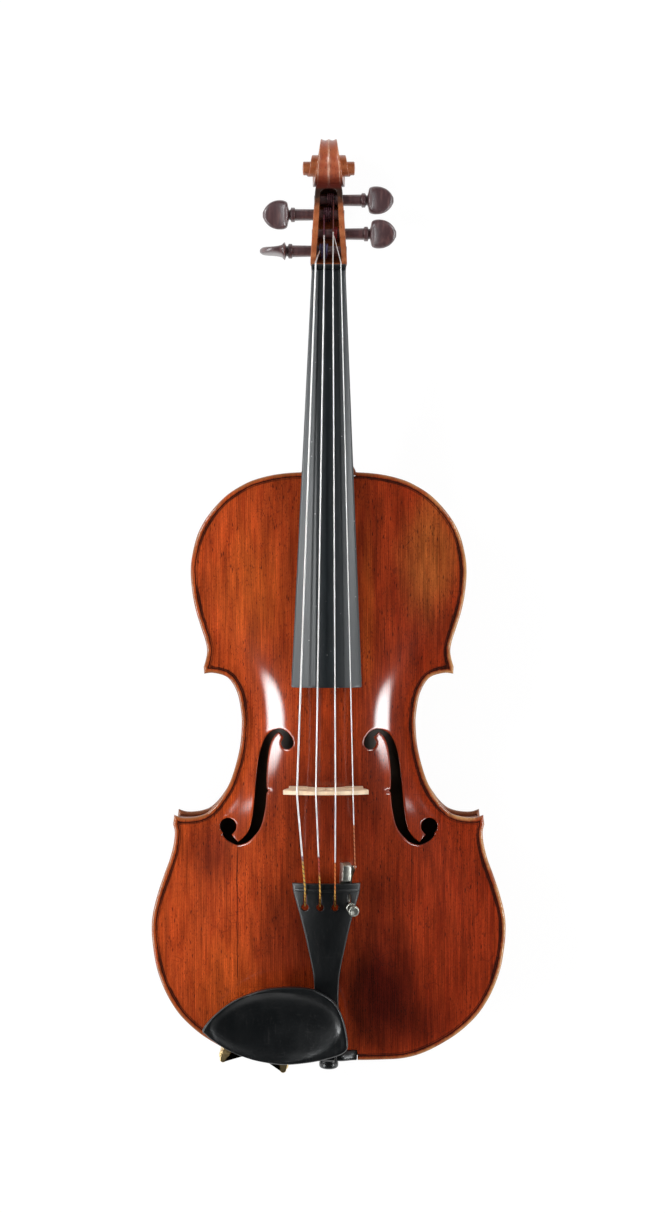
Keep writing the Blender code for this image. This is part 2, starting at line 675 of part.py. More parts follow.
def neck_section(y, top, low, half_top, half_low, square, shift):
    """A section that is flat on top and rounded below."""
    t = np.linspace(0, np.pi, 13)
    down = np.sin(t) ** square
    across = np.sign(np.cos(t)) * np.abs(np.cos(t)) ** square
    across[6] = 0
    down[[0, -1]] = 0
    half = half_top + (half_low - half_top) * down
    return np.column_stack([across * half + shift, np.full(13, y), top - (top - low) * down])


def scroll_side(side):
    """Points of the scroll's edge, and of the foot of its wall where an outer turn passes."""
    table = np.array(SCROLL_TURNS, float)
    angle = np.arange(table[0, 0], table[-1, 0] + 1, SCROLL_STEP)
    radius, half = (np.interp(angle, table[:, 0], table[:, k]) for k in (1, 2))
    y = SCROLL_EYE[0] + radius * np.sin(np.radians(angle))
    z = SCROLL_EYE[1] - radius * np.cos(np.radians(angle))
    turn = round(360 / SCROLL_STEP)
    edge = np.column_stack([side * half, y, z])
    foot = np.column_stack([side * (half[:-turn] - SCROLL_GROOVE), y[turn:], z[turn:]])
    return edge, foot, turn


def make_scroll():
    """The scroll: on each side a groove winds in along a rising wall, and one band joins the two outer edges."""
    points, faces, corners = [], [], []
    for side in (-1, 1):
        edge, foot, turn = scroll_side(side)
        start = sum(len(p) for p in points)
        last = len(edge) - 1
        e = lambda i, start=start: start + i
        f = lambda i, start=start, last=last, turn=turn: start + last + 1 + i - turn
        eye = start + len(edge) + len(foot)
        points += [edge, foot, [(side * SCROLL_EYE_HALF, *SCROLL_EYE)]]
        faces += [(e(i), e(i + 1), f(i + 1 + turn), f(i + turn)) for i in range(last - turn)]
        faces += [(f(i), f(i + 1), e(i + 1), e(i)) for i in range(turn, last)]
        faces += [(eye, e(i), e(i + 1)) for i in range(last - turn, last)]
        faces += [(eye, e(last), f(last)), (eye, f(last), e(last - turn))]
        corners.append([e(0), f(turn), e(turn)])
    (a, b, c), (d, g, h) = corners
    across = d - a
    faces += [(i, i + 1, i + 1 + across, i + across) for i in range(turn)]
    faces.append((a, b, c, h, g, d))
    return solid("scroll", np.vstack(points), faces, "maple_varnish")


def make_neck():
    sections = [neck_section(*row, lean(row[0])) for row in HEEL_AND_SHAFT]
    sections += [neck_section(*row, 0.0) for row in PEGBOX]
    neck = loft("neck", sections, "maple_varnish")
    combine(neck, make_scroll(), "UNION")
    hollow = []
    for y, floor, half in PEGBOX_HOLLOW:
        hollow.append([(-half, y, HOLLOW_TOP), (-half, y, floor + 2), (-half + 2, y, floor), (half - 2, y, floor),
                       (half, y, floor + 2), (half, y, HOLLOW_TOP)])
    combine(neck, loft("pegbox_hollow", hollow, "maple_varnish"), "DIFFERENCE")
    for name, (y, z, *_) in PEGS.items():
        combine(neck, rod(f"peg_hole_{name}", (-30, y, z), (30, y, z), PEG_HOLE), "DIFFERENCE")


def board_half(y):
    return BOARD_NUT_HALF + (BOARD_END_HALF - BOARD_NUT_HALF) * (NUT_FRONT - y) / (NUT_FRONT - BOARD_END)


def board_top(x, y):
    """Top of the fingerboard: round, but flat from the facet line to the C side's edge."""
    half = board_half(y)
    crown = BOARD_CROWN_NUT + BOARD_SLOPE * (NUT_FRONT - y)
    round_drop = lambda at: BOARD_RADIUS - np.sqrt(BOARD_RADIUS**2 - at**2)
    share = np.clip((BOARD_FACET - x) / (BOARD_FACET + half), 0, 1)
    facet = round_drop(BOARD_FACET) + (round_drop(half) - round_drop(BOARD_FACET)) * share
    return crown - np.where(x < BOARD_FACET, facet, round_drop(x))


def board_low(y):
    return BOARD_LOW_NUT + (BOARD_LOW_END - BOARD_LOW_NUT) * (NUT_FRONT - y) / (NUT_FRONT - BOARD_END)


def make_fingerboard():
    sections = []
    for y in np.linspace(NUT_FRONT - GAP, BOARD_END, 7):
        half = board_half(y)
        across = np.concatenate([[-half], np.linspace(BOARD_FACET, half, 9)])
        top = np.column_stack([across + lean(y), np.full(10, y), board_top(across, y)])
        low = np.array([(half + lean(y), y, board_low(y)), (-half + lean(y), y, board_low(y))])
        sections.append(np.vstack([top, low]))
    loft("fingerboard", sections, "ebony")


def make_nut():
    profile = [(NUT_FRONT, 52.9), (NUT_BACK, 52.9), (NUT_BACK, 58.6), (547.6, NUT_TOP), (546.2, NUT_TOP),
               (NUT_FRONT, 60.2)]
    ends = [[(x, y, z) for y, z in profile] for x in (-11.9, 11.9)]
    loft("nut", ends, "ebony")


def make_saddle():
    profile = [(0.2, BELLY_EDGE_LOW), (7.1, BELLY_EDGE_LOW), (7.1, 61.5), (4.6, 64.8), (2.2, 65.6), (0.6, 64.6),
               (0.2, 62.5)]
    loft("saddle", [[(x, y, z) for y, z in profile] for x in (-19.5, 19.5)], "ebony")


# Pegs, windings and strings

def cheek(y):
    """Half width of the pegbox at this distance along."""
    rows = np.array([(row[0], row[3]) for row in PEGBOX])
    return float(np.interp(y, rows[:, 0], rows[:, 1]))


def make_pegs():
    angle = np.arange(PEG_SIDES) * 2 * np.pi / PEG_SIDES
    for name, (y, z, side, turn) in PEGS.items():
        collar = cheek(y) + PEG_COLLAR_OUT
        rows = [(-cheek(y) - 0.3, PEG_SMALL, PEG_SMALL), (cheek(y), PEG_LARGE, PEG_LARGE)]
        rows += [(collar + out, wide, thick) for out, wide, thick in PEG_HEAD]
        tilt = np.radians(turn)
        sections = []
        for x, wide, thick in rows:
            flat, deep = wide * np.cos(angle), thick * np.sin(angle)
            sections.append(np.column_stack([
                np.full(PEG_SIDES, side * x),
                y + flat * np.cos(tilt) - deep * np.sin(tilt),
                z + flat * np.sin(tilt) + deep * np.cos(tilt),
            ]))
        centre_on(loft(f"peg_{name}", sections, "rosewood"), (0, y, z))


def winding_radius(diameter):
    """Radius of the winding's middle, so that its straight steps still clear the peg."""
    return (PEG_LARGE + 0.2 + diameter / 2) / np.cos(np.pi / TURN_POINTS)


def winding_points(name):
    diameter, _, leave, _, turns, start = STRINGS[name]
    y, z = PEGS[name][:2]
    radius = winding_radius(diameter)
    t = np.linspace(0, 1, round(turns * TURN_POINTS) + 1)
    angle = np.pi / 2 - 2 * np.pi * turns * (1 - t)
    step = np.sign(leave - start) * (diameter + WINDING_SPACE) * turns
    x = leave - step * (1 - t)
    return np.column_stack([x, y + radius * np.cos(angle), z + radius * np.sin(angle)])


def least_gap(points, diameter):
    """Least gap of a coiled cord to itself, between points more than half a turn apart."""
    apart = np.linalg.norm(points[:, None] - points[None], axis=2)
    steps = np.abs(np.arange(len(points))[:, None] - np.arange(len(points)))
    return float(apart[steps > TURN_POINTS // 2].min() - diameter)


def make_windings():
    for name, (diameter, *_) in STRINGS.items():
        points = winding_points(name)
        print(f"winding_{name}: least gap to itself {least_gap(points, diameter):.2f} mm")
        centre_on(cord(f"winding_{name}", points, diameter, "silk"), (0, *PEGS[name][:2]))


def bridge_crown(x):
    """Height of the bridge's top edge."""
    off = x - LEAN
    return BRIDGE_TOP - (BRIDGE_RADIUS - np.sqrt(BRIDGE_RADIUS**2 - off**2)) + BRIDGE_TILT * off


def tail_top(x, y):
    ridge = TAIL_RIDGE_END + (TAIL_RIDGE_TOP - TAIL_RIDGE_END) * (y - 9.5) / (126.1 - 9.5)
    return ridge - (x - TAIL_AXIS) ** 2 / (2 * TAIL_ARCH_RADIUS)


def string_route(name):
    """From just above the winding, over the nut and the bridge, to the tailpiece or the tuner's hook."""
    diameter, nut_x, leave, bridge_x, _, _ = STRINGS[name]
    peg_y, peg_z = PEGS[name][:2]
    half = diameter / 2
    bridge_z = float(bridge_crown(bridge_x)) + GAP + half
    middle = (BRIDGE_BACK + BRIDGE_FRONT) / 2
    route = [(leave, peg_y - 1.0, peg_z + winding_radius(diameter) + diameter + 0.5),
             (nut_x, NUT_BACK + 0.4, NUT_TOP + half + 0.15), (nut_x, 546.9, NUT_TOP + GAP + half + 0.1)]
    for share in (0.25, 0.5, 0.75):
        route.append(tuple(np.array(route[2]) * (1 - share) + np.array((bridge_x, middle, bridge_z)) * share))
    route += [(bridge_x, middle + 1.6, bridge_z), (bridge_x, middle - 1.6, bridge_z)]
    if name == "a":
        end = np.array(TUNER_HOOK)
        route.append(tuple(end + (0, 2.5, 0.6)))
        route.append(tuple(end))
        return route
    slot_x = TAIL_HOLES[name]
    fret_z = float(tail_top(slot_x, TAIL_FRET_Y)) + 1.1 + GAP + half
    route += [(slot_x, TAIL_FRET_Y + 1.6, fret_z + 0.2), (slot_x, TAIL_FRET_Y - 1.0, fret_z),
              (slot_x, TAIL_FRET_Y - 4.2, float(tail_top(slot_x, 117.1)) - half),
              (slot_x, TAIL_HOLE_Y + 0.6, float(tail_top(slot_x, TAIL_HOLE_Y)) - 2.6)]
    return route


def make_strings():
    for name, (diameter, *_) in STRINGS.items():
        cord(f"string_{name}", string_route(name), diameter, "steel_string", 2)


# Bridge, tailpiece and button

def ellipse(x, z, half_x, half_z, count=10):
    angle = np.arange(count) * 2 * np.pi / count
    return np.column_stack([x + half_x * np.cos(angle), z + half_z * np.sin(angle)])


def make_bridge():
    across = np.linspace(0, BRIDGE_HALF, 10) + LEAN
    right = [(x, float(bridge_crown(x))) for x in across]
    right += [(LEAN + x, z) for x, z in ((28.2, 95.5), (25.2, 93), (22.6, 90), (22.0, 86.8), (23.6, 83.5))]
    foot_out = [LEAN + x for x in (25.0, 21.0, 17.0, 13.0)]

    def sole(x):
        spots = np.array([x, x]), np.array([BRIDGE_FOOT_BACK, BRIDGE_FOOT_FRONT])
        return float(belly_top(*spots).max()) + GAP + 0.15

    right += [(foot_out[0], sole(foot_out[0]) + 3.0)] + [(x, sole(x)) for x in foot_out]
    right += [(LEAN + 12.2, sole(LEAN + 13) + 2.6), (LEAN + 9.0, 80.5), (LEAN + 4.5, 83.0), (LEAN, 84.0)]
    left = []
    for x, z in right[1:-1]:
        flipped = 2 * LEAN - x
        if (x, z) in right[:10]:
            left.append((flipped, float(bridge_crown(flipped))))
        elif x in foot_out and z < 77:
            left.append((flipped, sole(flipped) + z - sole(x)))
        else:
            left.append((flipped, z))
    loop = np.array(right + left[::-1])
    holes = [ellipse(LEAN, 94.5, 4.6, 4.2, 12)]
    holes += [ellipse(LEAN + side * 15.8, 89.5, 3.4, 3.6) for side in (1, -1)]

    def front(x, z):
        return BRIDGE_FOOT_FRONT + (BRIDGE_FRONT - BRIDGE_FOOT_FRONT) * np.clip((z - 74) / (BRIDGE_TOP - 74), 0, 1)

    def behind(x, z):
        return BRIDGE_FOOT_BACK + (BRIDGE_BACK - BRIDGE_FOOT_BACK) * np.clip((z - 74) / (BRIDGE_TOP - 74), 0, 1)

    plate("bridge", loop, holes, np.zeros((0, 2)), front, behind, "bare_maple", stand_up=True)


def keyhole(x, y, radius):
    """A round hole with a narrow slot up towards the fret."""
    slot = 0.95
    edge = np.degrees(np.arcsin(slot / radius))
    ring = circle_points(x, y, radius, 90 + edge, 450 - edge, 10)
    return np.vstack([ring, [(x + slot, TAIL_SLOT_TOP), (x - slot, TAIL_SLOT_TOP)]])


def make_tailpiece():
    line = smooth_line([(half, y) for y, half in TAIL_OUTLINE], 18)
    right = line + (TAIL_AXIS, 0)
    left = line[::-1] * (-1, 1) + (TAIL_AXIS, 0)
    far_end = np.linspace(left[-1], right[0], 9)[1:-1]
    near_end = np.linspace(right[-1], left[0], 5)[1:-1]
    loop = np.vstack([right, near_end, left, far_end])
    holes = [keyhole(x, TAIL_HOLE_Y, TAIL_HOLE_RADIUS) for x in TAIL_HOLES.values()]
    holes.append(keyhole(TUNER_X - 0.5, TUNER_Y + 0.3, TUNER_HOLE_RADIUS))
    holes += [circle_points(TAIL_AXIS + s * 4.5, 13.5, 1.4, 0, 315, 8) for s in (-1, 1)]
    axis = (TAIL_AXIS, 0)
    spots = grid_inside(loop - axis, [hole - axis for hole in holes], 5.4, 1.8) + axis
    low = lambda x, y: tail_top(x, y) - TAIL_THICK
    plate("tailpiece", loop, holes, spots, tail_top, low, "ebony")
    profile = [(-0.9, 0.3), (0.9, 0.3), (0.6, 1.0), (-0.6, 1.0)]
    across = np.linspace(-21.5, 21.5, 11) + TAIL_AXIS
    sections = []
    for x in across:
        top = float(tail_top(x, TAIL_FRET_Y)) + 0.12
        sections.append([(x, TAIL_FRET_Y + dy, top + up) for dy, up in profile])
    loft("tailpiece_fret", sections, "ebony")


def make_tail_cord():
    """One cord: out of the tailpiece, over the saddle, round the button's neck and back the same way."""
    neck = BUTTON_SHANK + 0.35
    wrap = neck + 0.9
    right = [(TAIL_AXIS + 4.5, 13.5, 66.5), (4.4, 9.8, 66.3), (4.6, 6.2, 67.0), (4.8, 2.6, 67.2),
             (5.0, -0.2, 66.4), (5.1, -1.7, 63.5), (5.15, -1.9, 56.0), (wrap, -1.9, BUTTON_HEIGHT + 2.0)]
    left = [(2 * TAIL_AXIS - x if i == 0 else -x, y, z) for i, (x, y, z) in enumerate(right)]
    around = [(wrap * np.cos(a), -1.9, BUTTON_HEIGHT + wrap * np.sin(a)) for a in np.linspace(0, -np.pi, 9)]
    cord("tailgut", right + around + left[::-1], 1.8, "tail_cord", 2)


def make_end_button():
    profile = [(-14.0, 3.3), (-3.2, BUTTON_SHANK), (3.2, BUTTON_SHANK), (3.5, 6.0), (4.6, 6.7), (8.6, 6.7),
               (9.9, 5.6), (-BUTTON_END, 2.4)]
    angle = np.arange(16) * 2 * np.pi / 16
    sections = [np.column_stack([r * np.cos(angle), np.full(16, -out), BUTTON_HEIGHT + r * np.sin(angle)])
                for out, r in profile]
    loft("end_button", sections, "ebony")


# Fine tuner

TUNER_BASE = np.array([TUNER_X, TUNER_Y, TAIL_RIDGE_END + (TAIL_RIDGE_TOP - TAIL_RIDGE_END)
                       * (TUNER_Y - 9.5) / (126.1 - 9.5) - (TUNER_X - TAIL_AXIS) ** 2 / (2 * TAIL_ARCH_RADIUS)])
TUNER_PIVOT = np.array([0.0, 24.0, -5.0])
HOOK_TIP = (1.1, 27.4, 3.9)


def tuner_place(local):
    """Where a point of the tuner lies on the viola: x across, y along, z square to the tailpiece."""
    return tilted(np.atleast_2d(np.asarray(local, float)) + TUNER_BASE, TUNER_BASE, TUNER_TILT, TUNER_RISE)


TUNER_HOOK = tuple(tuner_place(HOOK_TIP)[0])


def tuner_solid(obj):
    """Tilts a piece made upright at the tuner's base."""
    count = len(obj.data.vertices)
    points = np.empty(count * 3)
    obj.data.vertices.foreach_get("co", points)
    points = points.reshape(-1, 3) / MM + (0, FRAME_Y, 0)
    points = tilted(points, TUNER_BASE, TUNER_TILT, TUNER_RISE)
    obj.data.vertices.foreach_set("co", ((points - (0, FRAME_Y, 0)) * MM).ravel())
    obj.data.update()
    return obj


def tuner_slab(name, profile, x0, x1, look):
    """A flat bent piece: its side view, (along, up) pairs, carried across."""
    sections = [[(x, y, z) + TUNER_BASE for y, z in profile] for x in (x0, x1)]
    return loft(name, sections, look)


def make_tuner():
    frame_profile = [(-4, -7.0), (29.5, -7.0), (30.2, -2.5), (29.0, 1.0), (18.6, 1.0), (17.4, -0.5),
                     (17.4, -5.2), (-4, -5.2)]
    frame = tuner_slab("tuner_frame", frame_profile, -6.4, -0.6, "nickel_metal")
    tube = turned("tuner_tube", TUNER_BASE, [(-6.6, 1.75), (4.2, 1.75)], "nickel_metal", 14)
    bore = turned("tuner_bore", TUNER_BASE, [(-9.0, 1.25), (6.0, 1.25)], "nickel_metal", 14)
    combine(frame, tube, "UNION")
    combine(frame, bore, "DIFFERENCE")
    for piece in (frame, tube, bore):
        tuner_solid(piece)
    nut_profile = [(0.5, 2.9), (0.75, 3.1), (2.1, 3.1), (2.4, 2.9)]
    tuner_solid(turned("tuner_nut", TUNER_BASE, nut_profile, "nickel_metal", 16, bore=2.0))
    screw_profile = [(-7.6, 0.7), (-7.0, 0.95), (7.0, 0.95), (7.2, 2.6), (7.6, 3.6), (10.4, 3.6), (10.9, 3.0)]
    screw = tuner_solid(turned("tuner_screw", TUNER_BASE, screw_profile, "nickel_metal", 14))
    centre_on(screw, TUNER_BASE)
    profile = [(-2.6, -9.9), (21.0, -9.9), (25.0, -8.8), (27.4, -6.0), (29.6, 3.0), (28.4, 3.4), (24.6, -2.5),
               (22.0, -7.0), (-2.6, -8.4)]
    lever = tuner_slab("tuner_lever", profile, 0.0, 2.2, "nickel_metal")
    pad_profile = [(-2.4, -9.7), (3.0, -9.7), (3.0, -8.6), (-2.4, -8.6)]
    pad = tuner_slab("tuner_lever_pad", pad_profile, -2.2, 1.1, "nickel_metal")
    combine(lever, pad, "UNION")
    tuner_solid(pad)
    centre_on(tuner_solid(lever), tuner_place(TUNER_PIVOT)[0])


# Chinrest

def rest_top(x, y):
    """Top of the chinrest: a rim that falls to the edge of the body, with a shallow cup inside it."""
    rim = 83.5 + 6.0 * np.clip((y - 2) / 54, 0, 1) + 1.5 * np.clip((x + 40) / 50, -1, 1)
    across = ((x + 36) / 44) ** 2 + ((y - 28) / 24) ** 2
    return rim - 6.0 * np.clip(1 - across, 0, 1) ** 0.8


def rest_low(x, y):
    """Underside of the chinrest: it comes down to the clamp pad near the edge, and clears the tailpiece."""
    plain = rest_top(x, y) - 4.5 - 1.5 * np.clip(1 - ((x + 36) / 44) ** 2, 0, 1)
    into_pad = np.clip((17.5 - y) / 5, 0, 1) * np.clip((-22.0 - x) / 4, 0, 1) * np.clip((x + 80) / 4, 0, 1)
    return plain + (CLAMP_PAD_TOP + GAP - plain) * into_pad


def make_chinrest():
    loop = smooth_line(CHINREST_OUTLINE + CHINREST_OUTLINE[:1], 44)[:-1][::-1]
    xs, ys = np.meshgrid(np.arange(-78, 12, 7.0), np.arange(6, 54, 6.0))
    points = np.column_stack([xs.ravel(), ys.ravel()])
    points = points[inside(points, loop) & far_from(points, loop, 3.0)]
    plate("chinrest_plate", loop, [], points, rest_top, rest_low, "ebony")
    pad, bar = clamp_plans()
    cork_top = BELLY_EDGE_TOP + CORK_THICK
    prism("chinrest_cork", pad, BELLY_EDGE_TOP + GAP, cork_top, "cork")
    bracket = prism("chinrest_bracket", bar, cork_top + GAP, CLAMP_PAD_TOP, "gold_metal")
    foot = prism("chinrest_foot", bar, CLAMP_FOOT_LOW, CLAMP_FOOT_TOP, "gold_metal")
    prism("chinrest_foot_cork", pad, CLAMP_FOOT_TOP + GAP, BACK_EDGE_LOW - GAP, "cork")
    for side, (x, y) in BARRELS.items():
        combine(bracket, rod(f"upper_stud_{side}", (x, y, 43), (x, y, 63), STUD_RADIUS, "gold_metal", 12), "UNION")
        combine(foot, rod(f"lower_stud_{side}", (x, y, 11), (x, y, 33), STUD_RADIUS, "gold_metal", 12), "UNION")
        profile = [(24, 2.6), (25, BARREL_RADIUS), (51, BARREL_RADIUS), (52, 2.6)]
        barrel = turned(f"chinrest_barrel_{side}", (x, y, 0), profile, "gold_metal", 16, bore=BARREL_BORE)
        centre_on(barrel, (x, y, 38))


def clamp_plans():
    """Plan of the clamp's pads, along the edge of the body, and of its bars, which reach out to the barrels."""
    lower = half_edge()[2]
    edge = mirrored(lower[::-1])
    edge = edge[(edge[:, 0] < -24) & (edge[:, 0] > -79)]
    edge = resampled(edge, 8)
    ahead = np.gradient(edge, axis=0)
    ahead /= np.linalg.norm(ahead, axis=1)[:, None]
    inward = np.column_stack([ahead[:, 1], -ahead[:, 0]])
    if inward[0, 1] < 0:
        inward = -inward
    pad = np.vstack([edge + inward * 0.8, (edge + inward * 7.0)[::-1]])
    outer = []
    for place, way in zip(edge, inward):
        near = min(np.hypot(*(place - np.array(b))) for b in BARRELS.values())
        outer.append(place - way * (8.2 if near < 7.5 else 1.0))
    bar = np.vstack([outer, (edge + inward * 7.0)[::-1]])
    return pad, bar


def main():
    for obj in list(bpy.data.objects):
        bpy.data.objects.remove(obj)
    make_plates()
    make_ribs()
    make_blocks()
    make_bass_bar()
    make_soundpost()
    make_neck()
    make_fingerboard()
    make_nut()
    make_saddle()
    make_pegs()
    make_windings()
    make_strings()
    make_bridge()
    make_tailpiece()
    make_tail_cord()
    make_end_button()
    make_tuner()
    make_chinrest()


main()
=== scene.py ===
"""The looks of a full-size viola that lies on its back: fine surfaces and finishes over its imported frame.

Sizes are in millimetres, lengths from the lower edge of the body and heights from the surface that
it lies on, until lay() turns them into metres in the frame.
"""

import logging
from dataclasses import dataclass, field
from enum import Enum
from typing import Callable, Optional, Sequence

import bmesh
import bpy
import numpy as np
from mathutils.geometry import delaunay_2d_cdt
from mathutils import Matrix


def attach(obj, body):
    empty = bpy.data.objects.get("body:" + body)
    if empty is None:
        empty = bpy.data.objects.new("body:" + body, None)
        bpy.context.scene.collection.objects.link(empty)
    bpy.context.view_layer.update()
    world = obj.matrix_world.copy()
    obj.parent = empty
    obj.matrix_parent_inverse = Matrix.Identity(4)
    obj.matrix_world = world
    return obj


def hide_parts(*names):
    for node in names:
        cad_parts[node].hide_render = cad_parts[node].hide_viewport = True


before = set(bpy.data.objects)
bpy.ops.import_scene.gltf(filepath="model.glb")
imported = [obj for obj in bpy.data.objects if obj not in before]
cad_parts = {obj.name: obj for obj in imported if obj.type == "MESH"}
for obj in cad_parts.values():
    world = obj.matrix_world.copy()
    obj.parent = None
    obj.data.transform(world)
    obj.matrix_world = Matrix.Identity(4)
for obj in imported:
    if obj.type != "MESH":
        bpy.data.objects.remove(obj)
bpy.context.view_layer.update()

Array = np.ndarray
Socket = bpy.types.NodeSocket
Colour = tuple[float, float, float]

log = logging.getLogger("viola")

MM = 0.001
BUTTON_END = -10.5
SCROLL_END = 642.9
FRAME_Y = (BUTTON_END + SCROLL_END) / 2


# Lines

def resampled(line: Array, count: int) -> Array:
    """Cuts a line into equal lengths.

    Args:
        line: Points along the line, one a row.
        count: How many lengths.

    Returns:
        count + 1 points, evenly spaced along the line.
    """
    run = np.r_[0, np.cumsum(np.linalg.norm(np.diff(line, axis=0), axis=1))]
    at = np.linspace(0, run[-1], count + 1)
    return np.column_stack([np.interp(at, run, line[:, k]) for k in range(line.shape[1])])


def smooth_line(points: Sequence, count: int, closed: bool = False) -> Array:
    """A Catmull-Rom curve through the points, cut into equal lengths.

    Between b and c, whose neighbours are a and d, a point at t is half of
    2b + (c - a)t + (2a - 5b + 4c - d)t^2 + (3b - a - 3c + d)t^3.

    Args:
        points: The points to pass through.
        count: How many equal lengths.
        closed: Whether the curve runs back to its first point.

    Returns:
        count + 1 points along the curve.
    """
    line = np.asarray(points, float)
    if closed:
        line = np.vstack([line[-1:], line, line[:2]])
    else:
        line = np.vstack([2 * line[0] - line[1], line, 2 * line[-1] - line[-2]])
    a, b, c, d = line[:-3], line[1:-2], line[2:-1], line[3:]
    t = np.linspace(0, 1, 24, endpoint=False)[:, None, None]
    spans = 0.5 * (2 * b + (c - a) * t + (2 * a - 5 * b + 4 * c - d) * t**2 + (3 * b - a - 3 * c + d) * t**3)
    dense = np.vstack([spans.transpose(1, 0, 2).reshape(-1, line.shape[1]), line[-2:-1]])
    return resampled(dense, count)


def softened(line: Sequence, reach: float, steps: int = 5, closed: bool = False) -> Array:
    """Rounds the corners of a line: each becomes a curve (1-t)^2 p + 2t(1-t) corner + t^2 q.

    Args:
        line: The corners.
        reach: How far from a corner its curve starts and ends, at most half of the side.
        steps: Lengths in each curve.
        closed: Whether the line runs back to its first corner.

    Returns:
        The points of the rounded line.
    """
    corner = np.asarray(line, float)
    before, after = np.roll(corner, 1, axis=0) - corner, np.roll(corner, -1, axis=0) - corner
    long_before = np.maximum(np.linalg.norm(before, axis=1, keepdims=True), 1e-9)
    long_after = np.maximum(np.linalg.norm(after, axis=1, keepdims=True), 1e-9)
    start = corner + before / long_before * np.minimum(reach, long_before * 0.49)
    end = corner + after / long_after * np.minimum(reach, long_after * 0.49)
    t = np.linspace(0, 1, steps + 1)[:, None, None]
    curves = ((1 - t) ** 2 * start + 2 * t * (1 - t) * corner + t**2 * end).transpose(1, 0, 2)
    if closed:
        return curves.reshape(-1, corner.shape[1])
    return np.vstack([corner[:1], curves[1:-1].reshape(-1, corner.shape[1]), corner[-1:]])


def rightward(line: Array, closed: bool) -> Array:
    """Unit directions square to a flat line, on the right of its run, at each of its points."""
    if closed:
        ahead = np.roll(line, -1, axis=0) - np.roll(line, 1, axis=0)
    else:
        ahead = np.gradient(line, axis=0)
    ahead = ahead / np.maximum(np.linalg.norm(ahead, axis=1, keepdims=True), 1e-9)
    return np.column_stack([ahead[:, 1], -ahead[:, 0]])


def area_of(loop: Array) -> float:
    """Signed area of a flat loop: half the sum of x y' - x' y."""
    x, y = loop.T
    return float((x * np.roll(y, -1) - np.roll(x, -1) * y).sum() / 2)


def inset(loop: Array, distance: float) -> Array:
    """A closed loop moved inwards, each point by (m + n) / (1 + m.n) for its sides' directions m, n."""
    ahead = np.roll(loop, -1, axis=0) - loop
    ahead = ahead / np.maximum(np.linalg.norm(ahead, axis=1, keepdims=True), 1e-9)
    n = np.column_stack([ahead[:, 1], -ahead[:, 0]]) * (-1 if area_of(loop) > 0 else 1)
    m = np.roll(n, 1, axis=0)
    return loop + distance * (m + n) / np.maximum(1 + (m * n).sum(axis=1, keepdims=True), 0.5)


def arc(x: float, y: float, radius: float, start: float, end: float, count: int) -> Array:
    """Points of an arc, its angles in degrees."""
    angle = np.radians(np.linspace(start, end, count))
    return np.column_stack([x + radius * np.cos(angle), y + radius * np.sin(angle)])


def distance_to(points: Array, line: Array, closed: bool = True) -> Array:
    """Least distance from each point to a flat line.

    The nearest place on a side from a to b is a + s(b - a), with s = (p - a).(b - a) / |b - a|^2
    kept between 0 and 1.

    Args:
        points: The points, one a row.
        line: The line's points.
        closed: Whether the line runs back to its first point.

    Returns:
        One distance for each point.
    """
    a = line if closed else line[:-1]
    b = np.roll(line, -1, axis=0) if closed else line[1:]
    along = b - a
    square = np.maximum((along**2).sum(axis=1), 1e-12)
    found = []
    for part in np.array_split(points, max(1, len(points) * len(a) // 3_000_000)):
        off = part[:, None] - a
        share = np.clip((off * along).sum(axis=2) / square, 0, 1)
        found.append(np.sqrt(((off - share[..., None] * along) ** 2).sum(axis=2).min(axis=1)))
    return np.concatenate(found)


def inside(points: Array, loop: Array) -> Array:
    """Which points lie inside a closed loop: those with an odd number of its sides to their right."""
    a, b = loop, np.roll(loop, -1, axis=0)
    rise = np.where(b[:, 1] == a[:, 1], 1e-9, b[:, 1] - a[:, 1])
    found = []
    for part in np.array_split(points, max(1, len(points) * len(a) // 6_000_000)):
        x, y = part[:, 0, None], part[:, 1, None]
        crosses = (a[:, 1] > y) != (b[:, 1] > y)
        found.append((crosses & (x < a[:, 0] + (y - a[:, 1]) * (b[:, 0] - a[:, 0]) / rise)).sum(axis=1) % 2
            == 1)
    return np.concatenate(found)


# Surfaces

@dataclass
class Patch:
    """A surface: its points, faces in groups with like corner counts, a finish number for each group,
    and named values at its points."""

    points: Array
    faces: list[Array]
    slots: list[int] = field(default_factory=list)
    marks: dict[str, Array] = field(default_factory=dict)

    def slot_of(self, group: int) -> int:
        """The finish number of a group of faces."""
        return self.slots[group] if self.slots else 0

    def volume(self) -> float:
        """Six times the signed volume: the sum of a.(b x c) over the faces, cut into triangles."""
        total = 0.0
        for group in self.faces:
            first = self.points[group[:, 0]]
            for k in range(1, group.shape[1] - 1):
                total += float((first * np.cross(self.points[group[:, k]],
                    self.points[group[:, k + 1]])).sum())
        return total

    def outward(self) -> "Patch":
        """The same surface with its faces turned out."""
        if self.volume() < 0:
            self.faces = [group[:, ::-1] for group in self.faces]
        return self

    def marked(self, **values: Array) -> "Patch":
        """The same surface with more named values."""
        self.marks.update({name: np.broadcast_to(value, len(self.points)) for name, value in values.items()})
        return self


def joined(*patches: Patch) -> Patch:
    """Several closed surfaces as one, each turned out first."""
    points, faces, slots, start = [], [], [], 0
    names = set().union(*(patch.marks for patch in patches))
    marks: dict[str, list[Array]] = {name: [] for name in names}
    for patch in patches:
        patch.outward()
        points.append(patch.points)
        faces += [group + start for group in patch.faces]
        slots += [patch.slot_of(i) for i in range(len(patch.faces))]
        for name in names:
            marks[name].append(patch.marks.get(name, np.zeros(len(patch.points))))
        start += len(patch.points)
    return Patch(np.vstack(points), faces, slots,
        {name: np.concatenate(rows) for name, rows in marks.items()})


